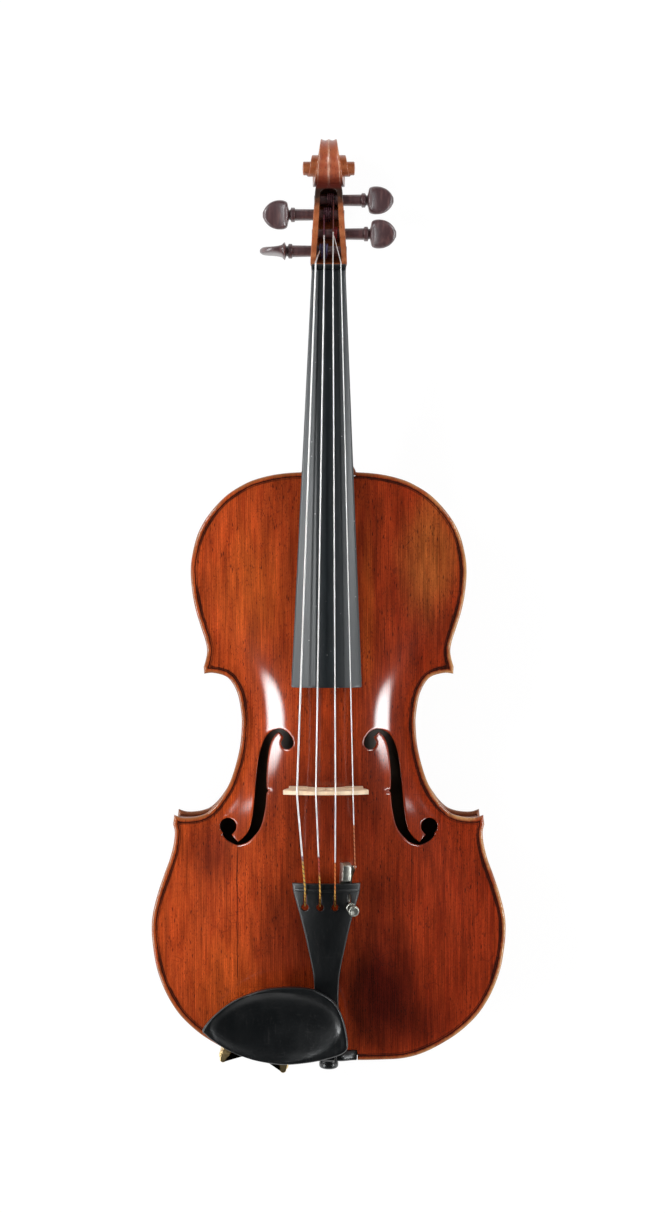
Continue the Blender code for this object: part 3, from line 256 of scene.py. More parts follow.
def quads(rows: int, columns: int, wrap_rows: bool = False, wrap_columns: bool = False) -> Array:
    """Faces of a grid of points, row by row, closed in either way if asked."""
    i, j = np.meshgrid(np.arange(rows - (not wrap_rows)), np.arange(columns - (not wrap_columns)),
        indexing="ij")
    down, over = (i + 1) % rows, (j + 1) % columns
    return np.stack([i * columns + j, i * columns + over, down * columns + over, down * columns + j],
        -1).reshape(-1, 4)


def loft(sections: Array, slot: int = 0) -> Patch:
    """A closed surface through closed sections, with a fan over each end.

    Args:
        sections: An array of sections, points and coordinates.
        slot: The finish number.

    Returns:
        The surface, with its middle points last.
    """
    rows, columns = sections.shape[:2]
    points = np.vstack([sections.reshape(-1, 3), sections[[0, -1]].mean(axis=1)])
    ring = np.arange(columns)
    over = (ring + 1) % columns
    last = (rows - 1) * columns
    near = np.column_stack([np.full(columns, rows * columns), over, ring])
    far = np.column_stack([np.full(columns, rows * columns + 1), last + ring, last + over])
    return Patch(points, [quads(rows, columns, wrap_columns=True), near, far], [slot] * 3).outward()


def tube(path: Array, radius: Array | float, across: Sequence, sides: int = 12) -> Patch:
    """A round cord: at each point of the path, a ring square to it.

    A ring's first axis is the reference direction less its share along the path, its second axis
    is the path's direction times the first, and a point is the centre plus
    radius (cos of the angle times the first + sin times the second).

    Args:
        path: The points of the centre line.
        radius: The radius, one for all or one for each point.
        across: The reference direction, or one for each point, never along the path.
        sides: Points in each ring.

    Returns:
        The cord, with marks for the length along it and the share of a turn round it.
    """
    ahead = np.gradient(path, axis=0)
    ahead /= np.linalg.norm(ahead, axis=1, keepdims=True)
    first = np.broadcast_to(np.asarray(across, float), path.shape)
    first = first - (first * ahead).sum(axis=1, keepdims=True) * ahead
    first = first / np.linalg.norm(first, axis=1, keepdims=True)
    second = np.cross(ahead, first)
    angle = np.arange(sides) * 2 * np.pi / sides
    wide = np.broadcast_to(np.asarray(radius, float), len(path))[:, None, None]
    ring = np.cos(angle)[:, None] * first[:, None] + np.sin(angle)[:, None] * second[:, None]
    run = np.r_[0, np.cumsum(np.linalg.norm(np.diff(path, axis=0), axis=1))]
    made = loft(path[:, None] + wide * ring)
    return made.marked(
        along=np.r_[np.repeat(run, sides), 0, run[-1]],
        around=np.r_[np.tile(angle / (2 * np.pi), len(path)), 0, 0],
    )


def turned(profile: Array, base: Sequence, axis: Sequence, side: Sequence, sides: int = 48,
           ripple: Optional[Callable[[Array, Array], Array]] = None) -> Patch:
    """A round piece: base + axis times the distance + radius (cos a side + sin a (axis x side)).

    Args:
        profile: Distance along the axis and radius, one pair a row.
        base: Where the axis starts.
        axis: Unit direction of the axis.
        side: A unit direction square to it.
        sides: Points in each ring.
        ripple: Extra radius from the distance and the angle, as for knurling.

    Returns:
        The closed surface.
    """
    axis, side = np.asarray(axis, float), np.asarray(side, float)
    angle = np.arange(sides) * 2 * np.pi / sides
    ring = np.cos(angle)[:, None] * side + np.sin(angle)[:, None] * np.cross(axis, side)
    radius = np.repeat(profile[:, 1, None], sides, axis=1)
    if ripple is not None:
        radius = radius + ripple(profile[:, 0, None], angle[None])
    centre = np.asarray(base, float) + profile[:, 0, None] * axis
    return loft(centre[:, None] + radius[..., None] * ring)


def turned_ring(profile: Array, base: Sequence, axis: Sequence, side: Sequence, sides: int = 48,
                ripple: Optional[Callable[[Array, Array], Array]] = None) -> Patch:
    """A round piece with a bore: a closed profile carried once round the axis."""
    made = turned(profile, base, axis, side, sides, ripple)
    rows = len(profile)
    return Patch(made.points[: rows * sides],
        [quads(rows, sides, wrap_rows=True, wrap_columns=True)]).outward()


def prism(loop: Array, low: float, high: float, edge: float = 0.35) -> Patch:
    """A flat loop raised between two heights, its edges rounded by a quarter circle."""
    turn = np.linspace(0, np.pi / 2, 4)
    drop = edge * (1 - np.cos(turn))
    pull = edge * (1 - np.sin(turn))
    rows = [(low + a, b) for a, b in zip(drop, pull)] + [(high - a, b) for a,
        b in zip(drop[::-1], pull[::-1])]
    return loft(np.array([np.column_stack([inset(loop, b), np.full(len(loop), z)]) for z, b in rows]))


def lay(name: str, patch: Patch, body: str, slot: str, *finishes: bpy.types.Material,
        replaces: Sequence[str] = (), crease: float = 40.0) -> bpy.types.Object:
    """Puts a surface in the scene, in metres in the frame, and ties it to its body.

    Args:
        name: The piece's name.
        patch: Its surface.
        body: The body it rides on.
        slot: The record's material slot; not used.
        finishes: Its materials, in the order of the faces' finish numbers.
        replaces: The nodes it stands for.
        crease: Edges sharper than this many degrees stay sharp.

    Returns:
        The new object.
    """
    mesh = bpy.data.meshes.new(name)
    points = (patch.points - (0, FRAME_Y, 0)) * MM
    corners = np.concatenate([group.ravel() for group in patch.faces])
    sizes = np.concatenate([np.full(len(group), group.shape[1]) for group in patch.faces])
    numbers = np.concatenate([np.full(len(group), patch.slot_of(i)) for i, group in enumerate(patch.faces)])
    mesh.vertices.add(len(points))
    mesh.vertices.foreach_set("co", points.astype(np.float32).ravel())
    mesh.loops.add(len(corners))
    mesh.loops.foreach_set("vertex_index", corners.astype(np.int32))
    mesh.polygons.add(len(sizes))
    mesh.polygons.foreach_set("loop_start", np.r_[0, np.cumsum(sizes)[:-1]].astype(np.int32))
    mesh.polygons.foreach_set("material_index", numbers.astype(np.int32))
    for mark, values in patch.marks.items():
        mesh.attributes.new(mark, "FLOAT", "POINT").data.foreach_set("value", values.astype(np.float32))
    mesh.update(calc_edges=True)
    mesh.validate()
    for finish in finishes:
        mesh.materials.append(finish)
    mesh.shade_smooth()
    mesh.set_sharp_from_angle(angle=np.radians(crease))
    piece = bpy.data.objects.new(name, mesh)
    bpy.context.scene.collection.objects.link(piece)
    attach(piece, body)
    if replaces:
        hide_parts(*replaces)
    log.info("%s: %d points, %d faces, on %s", name, len(points), len(sizes), body)
    return piece


# Plates

EDGE_RINGS = (0.15, 0.4, 0.8, 1.3, 1.9, 2.5, 3.2, 4.0, 4.9, 6.0, 7.3, 8.8, 10.5)
HOLE_RINGS = (0.12, 0.3, 0.6, 1.1, 1.9)


@dataclass
class Plan:
    """A plate's plan in triangles: its points, how far each is from the edge and from the nearest hole,
    and its rim as directed sides."""

    points: Array
    triangles: Array
    edge: Array
    hole: Array
    rim: Array


def plan_of(loop: Array, holes: Sequence[Array] = (), step: float = 3.0, rings: Sequence[float] = EDGE_RINGS,
            hole_rings: Sequence[float] = HOLE_RINGS) -> Plan:
    """Fills an outline with rings of points that follow its edges and an even grid between them.

    Args:
        loop: The closed outline.
        holes: Closed outlines cut out of it.
        step: Spacing of the grid.
        rings: How far in from the edge each ring lies.
        hole_rings: How far out from each hole a ring lies.

    Returns:
        The plan.
    """
    bounds = [loop, *holes]
    spots = []
    for k, distance in enumerate(rings):
        ring = inset(loop, distance)[:: 1 if distance < 2.6 else 2]
        spots.append(ring[distance_to(ring, loop) > distance * 0.97])
    for hole in holes:
        for distance in hole_rings:
            ring = inset(hole, -distance)
            spots.append(ring[(distance_to(ring, hole) > distance * 0.97) & (distance_to(ring, loop) > 1.0)])
    low, high = loop.min(axis=0), loop.max(axis=0)
    x, y = np.meshgrid(np.arange(low[0] + step / 2, high[0], step),
        np.arange(low[1] + step / 2, high[1], step))
    grid = np.column_stack([x.ravel(), y.ravel()])
    grid = grid[inside(grid, loop)]
    spots.append(grid[distance_to(grid, loop) > max(rings, default=0) + step / 2])
    inner = np.vstack(spots)
    inner = inner[inside(inner, loop)]
    for hole in holes:
        off = distance_to(inner, hole)
        on_ring = np.any([np.abs(off - d) < 0.05 * d for d in hole_rings], axis=0)
        inner = inner[~inside(inner, hole) & (on_ring | (off > max(hole_rings, default=0) + step * 0.3))]
    sides, start = [], 0
    for each in bounds:
        ring = np.arange(len(each))
        sides.append(np.column_stack([start + ring, start + (ring + 1) % len(each)]))
        start += len(each)
    found = delaunay_2d_cdt(np.vstack(bounds + [inner]).tolist(), np.vstack(sides).tolist(), [], 0, 1e-7,
        False)
    points, triangles = np.array(found[0]), np.array(found[2])
    middle = points[triangles].mean(axis=1)
    keep = inside(middle, loop)
    for hole in holes:
        keep &= ~inside(middle, hole)
    used, triangles = np.unique(triangles[keep], return_inverse=True)
    points, triangles = points[used], triangles.reshape(-1, 3)
    a, b, c = (points[triangles[:, k]] for k in range(3))
    turn = (b[:, 0] - a[:, 0]) * (c[:, 1] - a[:, 1]) - (b[:, 1] - a[:, 1]) * (c[:, 0] - a[:, 0])
    triangles[turn < 0] = triangles[turn < 0][:, ::-1]
    count = len(points)
    ends = np.vstack([triangles[:, [0, 1]], triangles[:, [1, 2]], triangles[:, [2, 0]]])
    rim = ends[~np.isin(ends[:, 0] * count + ends[:, 1], ends[:, 1] * count + ends[:, 0])]
    hole_off = np.min([distance_to(points, hole) for hole in holes], axis=0) if holes else np.full(count,
        99.0)
    return Plan(points, triangles, distance_to(points, loop), hole_off, rim)


def plate_over(plan: Plan, top: Array, low: Array, stand_up: bool = False) -> Patch:
    """A plate between two heights over its plan. Walls of holes have finish number 1.

    Args:
        plan: The plan.
        top: Height of the upper face at each point, or its depth if the plate stands up.
        low: The same for the lower face.
        stand_up: Whether the plan is an elevation, in x and z.

    Returns:
        The closed plate.
    """
    ends = [np.column_stack([plan.points, height]) for height in (top, low)]
    points = np.vstack(ends)
    if stand_up:
        points = points[:, [0, 2, 1]]
    count = len(plan.points)
    i, j = plan.rim.T
    walls = np.column_stack([i, i + count, j + count, j])
    cut = (plan.hole[i] < 1e-4) & (plan.hole[j] < 1e-4)
    faces = [plan.triangles, plan.triangles[:, ::-1] + count, walls[~cut], walls[cut]]
    return Patch(points, faces, [0, 0, 0, 1]).outward()


def round_over(distance: Array, radius: float) -> Array:
    """How far a rounded edge falls: r - sqrt(r^2 - (r - d)^2) within its radius, and none past it."""
    short = np.clip(radius - distance, 0, radius)
    return radius - np.sqrt(radius**2 - short**2)


def smoothstep(value: Array, low: float, high: float) -> Array:
    """Rises from 0 at low to 1 at high as 3t^2 - 2t^3."""
    t = np.clip((value - low) / (high - low), 0, 1)
    return t * t * (3 - 2 * t)


# The body's lines

BODY_LENGTH = 405.5
BELLY_EDGE_TOP = 60.0
BELLY_EDGE_LOW = 56.15
BACK_EDGE_TOP = 18.85
BACK_EDGE_LOW = 15.0
NUT_BACK = 549.0
BRIDGE_FRONT = 190.0
LEAN = -1.8
TAIL_AXIS = -1.5

# Half outline of the body, right side, from the neck to the end button
UPPER_BOUT = [
    (0, 405.5), (18, 405.5), (34, 404.3), (47.6, 401.4), (58.3, 397.2), (71, 389), (82.5, 376.5),
    (90, 363.5), (94, 349), (95.2, 337), (94.1, 322.8), (91.7, 310.3), (87.9, 297.9), (85.2, 289.7),
    (83.9, 282.8), (84.6, 277), (86.2, 271.2),
]
MIDDLE_BOUT = [
    (85.9, 266.4), (80, 267), (71.6, 264.9), (66.9, 260.7), (62.8, 252.4), (60.6, 241.4), (60, 231),
    (61.7, 213.8), (67.6, 193.1), (75.5, 179.3), (82.8, 171.4), (89.1, 168.5), (96, 167.4),
    (101.8, 167.6), (106.6, 169.2),
]
LOWER_BOUT = [
    (107.3, 162.5), (106.2, 157.2), (107, 149), (109.5, 139), (113.5, 128), (118, 114.5), (121.3, 101),
    (122.1, 90), (121, 77), (118.3, 62.5), (112.5, 47), (104, 33), (93.4, 22.1), (82, 13.8), (66.2, 5.5),
    (51.7, 1.4), (35, 0.3), (19.8, 0), (0, 0),
]
# Where the arch begins, inside the edge: distance along the body, half width
ARCH_LINE = smooth_line([
    (8, 0), (10, 40), (16, 66), (26, 86), (40, 101), (62, 111), (90, 115), (118, 110), (140, 101),
    (165, 82), (185, 66), (205, 57), (232, 53), (255, 56.5), (275, 67), (295, 79), (315, 85.5),
    (336, 88), (355, 85), (372, 76), (386, 60), (394, 38), (397, 0),
], 240)
BOUTS = (smooth_line(UPPER_BOUT, 136), smooth_line(MIDDLE_BOUT, 104), smooth_line(LOWER_BOUT, 144))


def mirrored(points: Array) -> Array:
    """The same points on the other side of the centre line."""
    return np.asarray(points, float) * (-1, 1)


def closed_edge(right: Array) -> Array:
    """A closed outline from its right half, which starts and ends on the centre line."""
    return np.vstack([right, mirrored(right[1:-1])[::-1]])


def arch_height(x: Array, y: Array) -> Array:
    """Height of the arch over the edge: 15 (1 + cos(pi a^1.55)) / 2 (1 + cos(pi b^2.2)) / 2.

    Args:
        x: Distance across, which gives a as a share of the arch's half width.
        y: Distance along, which gives b as its distance from 202 over 195.

    Returns:
        The height.
    """
    half = np.maximum(np.interp(y, ARCH_LINE[:, 0], ARCH_LINE[:, 1]), 1e-3)
    across = np.clip(np.abs(x) / half, 0, 1)
    along = np.clip(np.abs(y - 202.0) / 195.0, 0, 1)
    return 15.0 * (1 + np.cos(np.pi * across**1.55)) / 2 * (1 + np.cos(np.pi * along**2.2)) / 2


def channel(edge: Array) -> Array:
    """The hollow that runs round a plate inside its edge: 0.7 exp(-((d - 7) / 3)^2)."""
    return 0.7 * np.exp(-(((edge - 7.0) / 3.0) ** 2))


def belly_top(x: Array, y: Array) -> Array:
    """Height of the belly's upper face, without its channel."""
    return BELLY_EDGE_TOP + arch_height(x, y)


def table_at(rows: Sequence, y: Array | float) -> Array:
    """Values from a table at the places given, straight between its rows."""
    table = np.asarray(rows, float)
    return np.stack([np.interp(y, table[:, 0], table[:, k]) for k in range(1, table.shape[1])], -1)


@dataclass
class SoundHole:
    """The right sound hole: two round eyes, joined by a stem with a notch in each edge."""

    upper_eye: tuple[float, float, float] = (28.3, 219.4, 4.2)
    lower_eye: tuple[float, float, float] = (69.2, 161.6, 5.7)
    outer: tuple = ((24.9, 223.0), (28.5, 227.2), (34.4, 228.9), (41.0, 225.9), (45.4, 219), (48.2, 208.5),
                    (50.0, 193), (50.9, 183), (52.3, 169), (54.5, 160), (58, 154.9), (62.2, 151.2))
    tail: tuple = ((73.6, 156.4), (70.4, 152.7), (66.4, 150.5), (61.9, 149.3), (55.5, 151.5), (50, 156.7),
                   (46.2, 163), (43.6, 174), (42.5, 185.1))
    inner: tuple = ((42.5, 188), (42.7, 197), (41.9, 208.5), (40, 218.6), (37.5, 223.7), (34.4, 226.8))
    notch: tuple[float, float] = (41.2, 186.5)
    lower_wing: tuple[float, float] = (66.7, 155.9)
    upper_wing: tuple[float, float] = (30.7, 223.4)

    def loop(self) -> Array:
        """The closed outline."""
        return np.vstack([
            smooth_line(self.outer, 78), [self.lower_wing], arc(*self.lower_eye, 210, -52, 34),
            smooth_line(self.tail, 56)[1:], [self.notch], smooth_line(self.inner, 36), [self.upper_wing],
            arc(*self.upper_eye, 10, -200, 28),
        ])


@dataclass
class Finishes:
    """Every finish, made once and shared by the pieces."""

    belly: bpy.types.Material
    hole_wall: bpy.types.Material
    maple: bpy.types.Material
    spruce: bpy.types.Material
    ebony: bpy.types.Material
    board: bpy.types.Material
    rosewood: bpy.types.Material
    bare_maple: bpy.types.Material
    string: dict[str, bpy.types.Material]
    silk: dict[str, bpy.types.Material]
    nickel: bpy.types.Material
    gold: bpy.types.Material
    cork: bpy.types.Material
    cord: bpy.types.Material


@dataclass
class Body:
    """Belly, back and ribs, over the blocks and linings that the frame brings."""

    neck_notch: float = 18.6
    saddle_notch: float = 19.9
    edge_radius: float = 1.9
    hole_radius: float = 0.95
    thickness: float = 3.0
    back_thickness: float = 4.5
    button_radius: float = 11.0

    def outline(self) -> Array:
        """The whole outline, as the bouts' lines run."""
        return closed_edge(np.vstack(BOUTS))

    def belly_loop(self) -> Array:
        """Outline of the belly, with its notches for the neck and the saddle."""
        upper, middle, lower = BOUTS
        root, saddle = self.neck_notch, self.saddle_notch
        return closed_edge(np.vstack([
            resampled(np.array([(0, 402.4), (root, 402.4), (root, 405.5)]), 12),
            upper[upper[:, 0] > root + 0.5], middle, lower[lower[:, 0] > saddle + 0.5],
            resampled(np.array([(saddle, 0), (saddle, 7.4), (0, 7.4)]), 14),
        ]))

    def belly(self, look: Finishes) -> None:
        """The belly: arch less channel, its edges and the sound holes' edges rounded."""
        hole = SoundHole().loop()
        plan = plan_of(self.belly_loop(), [hole, mirrored(hole)[::-1]], 3.0)
        x, y = plan.points.T
        edge = distance_to(plan.points, self.outline())
        free = (np.abs(x) > self.neck_notch + 0.1) | ((y > 9) & (y < 400))
        soft = np.where(free, round_over(edge, self.edge_radius), 0) + round_over(plan.hole, self.hole_radius)
        arch = arch_height(x, y)
        top = BELLY_EDGE_TOP + arch - channel(edge) - soft
        rise = (BELLY_EDGE_TOP + 15 - self.thickness - BELLY_EDGE_LOW) / 15
        low = np.minimum(BELLY_EDGE_LOW + arch * rise + np.where(free, round_over(edge, self.edge_radius),
            0), top - 0.03)
        patch = plate_over(plan, top, low)
        inner = np.concatenate([np.zeros(len(x)), (edge > 3.7).astype(float)])
        patch.marked(edge=np.tile(edge, 2), hole=np.tile(plan.hole, 2), inner=inner)
        lay("Belly", patch, "instrument", "belly_varnish", look.belly, look.hole_wall, replaces=["belly"])

    def back(self, look: Finishes) -> None:
        """The back, with its button under the neck and a flat to lie on."""
        upper, middle, lower = BOUTS
        button = arc(0, BODY_LENGTH, self.button_radius, 90, 0, 16)
        loop = closed_edge(np.vstack([button, upper[upper[:, 0] > self.button_radius + 0.5], middle, lower]))
        plan = plan_of(loop, step=3.4)
        x, y = plan.points.T
        arch = arch_height(x, y)
        soft = round_over(plan.edge, self.edge_radius)
        line = distance_to(plan.points, self.outline())
        line = np.where(inside(plan.points, self.outline()), line, -line)
        low = np.maximum(BACK_EDGE_LOW - arch * 1.02 + channel(line), 0) + soft
        top = BACK_EDGE_TOP - arch * (BACK_EDGE_TOP - self.back_thickness) / 15 - soft
        patch = plate_over(plan, np.maximum(top, low + 0.03), low)
        inner = np.concatenate([(line > 3.7).astype(float), np.zeros(len(x))])
        patch.marked(edge=np.tile(line, 2), inner=inner)
        lay("Back", patch, "instrument", "maple_varnish", look.maple, replaces=["back"])

    def rib_line(self, name: str, distance: float) -> Array:
        """One bout's line moved in, cut at the corners' mitres and kept off the centre line."""
        line = BOUTS[("upper", "middle", "lower").index(name)]
        line = line + distance * rightward(line, False)
        upper, lower = ((85.6, 266.6), (-1.0, 1.0)), ((107.0, 167.8), (-1.0, -1.0))
        if name != "upper":
            line = cut_at(line[::-1], *(upper if name == "middle" else lower), 1)[::-1]
        if name != "lower":
            line = cut_at(line, *(upper if name == "upper" else lower), -1)
        return np.column_stack([np.maximum(line[:, 0], 0.15), line[:, 1]])

    def ribs(self, look: Finishes) -> None:
        """Six bent strips between the two plates."""
        for name in ("upper", "middle", "lower"):
            outer, inner = (resampled(self.rib_line(name, d), 160) for d in (3.0, 4.2))
            for side, flip in (("right", 1), ("left", -1)):
                edge = [(line * (flip, 1), z) for line, z in
                        ((outer, 19.0), (inner, 19.0), (inner, 56.0), (outer, 56.0))]
                sections = np.stack([np.column_stack([line, np.full(len(line), z)]) for line, z in edge],
                    axis=1)
                patch = loft(sections).marked(edge=50.0, inner=0.0)
                lay(f"Rib_{name}_{side}", patch, "instrument", "maple_varnish", look.maple,
                    replaces=[f"rib_{name}_{side}"])

    def build(self, look: Finishes) -> None:
        """Makes the body, and gives the wood inside it its finish."""
        self.belly(look)
        self.back(look)
        self.ribs(look)
        inside_nodes = ("lining", "corner_block", "neck_block", "end_block", "bass_bar", "soundpost")
        for name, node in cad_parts.items():
            if name.startswith(inside_nodes):
                node.data.materials.clear()
                node.data.materials.append(look.spruce)
                log.info("%s: bare spruce", name)


def cut_at(line: Array, point: Sequence, along: Sequence, side: int) -> Array:
    """A line up to a mitre, which it is lengthened to reach.

    Args:
        line: The line.
        point: A point of the mitre.
        along: Its direction.
        side: The side of the mitre that the line is on.

    Returns:
        The line, ending 0.15 short of the mitre.
    """
    way = np.asarray(along, float) / np.linalg.norm(along)
    across = np.array([-way[1], way[0]])
    end = (line[-1] - line[-2]) / np.linalg.norm(line[-1] - line[-2])
    longer = np.vstack([line, line[-1] + 12 * end])
    past = side * ((longer - point) @ across) - 0.15
    crossing = np.flatnonzero((past[:-1] > 0) & (past[1:] <= 0))
    crossing = crossing[crossing >= len(longer) // 2]
    if not len(crossing):
        return line
    i = int(crossing[0])
    share = past[i] / (past[i] - past[i + 1])
    return np.vstack([longer[: i + 1], longer[i] + share * (longer[i + 1] - longer[i])])


def lean(y: Array | float) -> Array | float:
    """How far the strings' centre line stands from the body's, at a distance along."""
    return LEAN * (NUT_BACK - y) / (NUT_BACK - BRIDGE_FRONT)


# Rows of y, top, bottom, half width at the top and at the bottom, squareness (1 is an ellipse)
HEEL_AND_SHAFT = [
    (402.8, 67.3, 19.15, 18.5, 10.3, 0.35), (406.2, 66.9, 19.15, 18.4, 10.1, 0.36),
    (408.5, 66.7, 19.15, 17.1, 10.0, 0.37),
    (413.0, 66.2, 19.25, 16.9, 7.8, 0.45), (416.3, 65.9, 20.5, 16.8, 4.5, 0.55),
    (418.5, 65.7, 28.0, 16.7, 7.0, 0.6), (421.5, 65.4, 35.0, 16.6, 9.5, 0.65),
    (426.5, 64.9, 41.5, 16.4, 12.0, 0.75), (433.5, 64.1, 46.3, 16.1, 13.5, 0.85),
    (443.0, 63.1, 49.0, 15.7, 14.5, 0.9), (457.0, 61.7, 49.7, 15.2, 15.2, 0.9),
    (478.0, 59.5, 47.9, 14.4, 14.4, 0.9), (502.0, 57.0, 45.4, 13.4, 13.4, 0.9),
    (526.0, 54.5, 42.9, 12.5, 12.5, 0.9), (542.0, 52.5, 41.2, 11.9, 11.9, 0.85),
    (549.5, 52.5, 37.6, 12.2, 12.2, 0.7),
]
PEGBOX = [
    (549.35, 57.0, 37.4, 12.7, 12.7, 0.6), (553.5, 55.2, 33.0, 12.6, 12.6, 0.45),
    (560.0, 52.4, 29.3, 12.3, 12.3, 0.35), (572.0, 47.3, 25.3, 11.6, 11.6, 0.25),
    (586.0, 41.4, 20.0, 10.8, 10.8, 0.22), (598.0, 36.3, 13.6, 10.0, 9.8, 0.2),
    (605.0, 33.3, 8.0, 9.6, 9.0, 0.2), (613.5, 29.5, 3.0, 8.3, 8.1, 0.25),
]
# Pegbox hollow: where it opens, where its far arch starts and ends, and the arch's depth and power
HOLLOW_START, HOLLOW_ARCH, HOLLOW_END = 549.9, 602.0, 606.5
ARCH_DEEP, ARCH_POWER = 4.52, 2.6
BOX_END = 613.5               # where the pegbox meets the scroll
# Hollow of the pegbox: y, floor, half width
PEGBOX_HOLLOW = [
    (551.4, 38.5, 8.9), (560.0, 34.2, 8.5), (572.0, 30.0, 7.5), (586.0, 24.9, 6.8), (598.0, 19.0, 6.3),
    (606.5, 17.5, 5.9),
]
# Scroll: angle turned, radius, half width. Angle 0 is the back of the scroll, 90 its top, 180 its front.
SCROLL_TURNS = [
    (-54, 23.9, 8.7), (-36, 23.5, 8.3), (-18, 23.9, 8.0), (0, 24.5, 7.6), (45, 22.9, 6.4),
    (90, 20.8, 5.7), (135, 18.9, 6.4), (180, 16.8, 8.2), (225, 15.0, 9.8), (270, 13.2, 11.2),
    (315, 12.1, 11.4), (360, 11.0, 11.5), (450, 9.5, 11.8), (540, 7.8, 13.2), (630, 5.9, 15.0),
    (720, 4.9, 16.4), (810, 4.6, 17.2),
]


def neck_rim(row: Array, shift: float, count: int) -> Array:
    """A section's rim from its right top corner, round below, to the left one.

    At t the rim is across by |cos t|^s and down by sin^s t, where s is the squareness.

    Args:
        row: y, top, bottom, half width at top and bottom, squareness.
        shift: How far the section stands to the side.
        count: Lengths in the rim.

    Returns:
        Its points.
    """
    y, top, low, half_top, half_low, square = row
    t = np.linspace(0, np.pi, 301)
    down = np.clip(np.sin(t), 0, 1) ** square
    across = np.sign(np.cos(t)) * np.abs(np.cos(t)) ** square
    half = half_top + (half_low - half_top) * down
    rim = np.column_stack([across * half + shift, top - (top - low) * down])
    rim = resampled(rim, count)
    return np.column_stack([rim[:, 0], np.full(count + 1, y), rim[:, 1]])


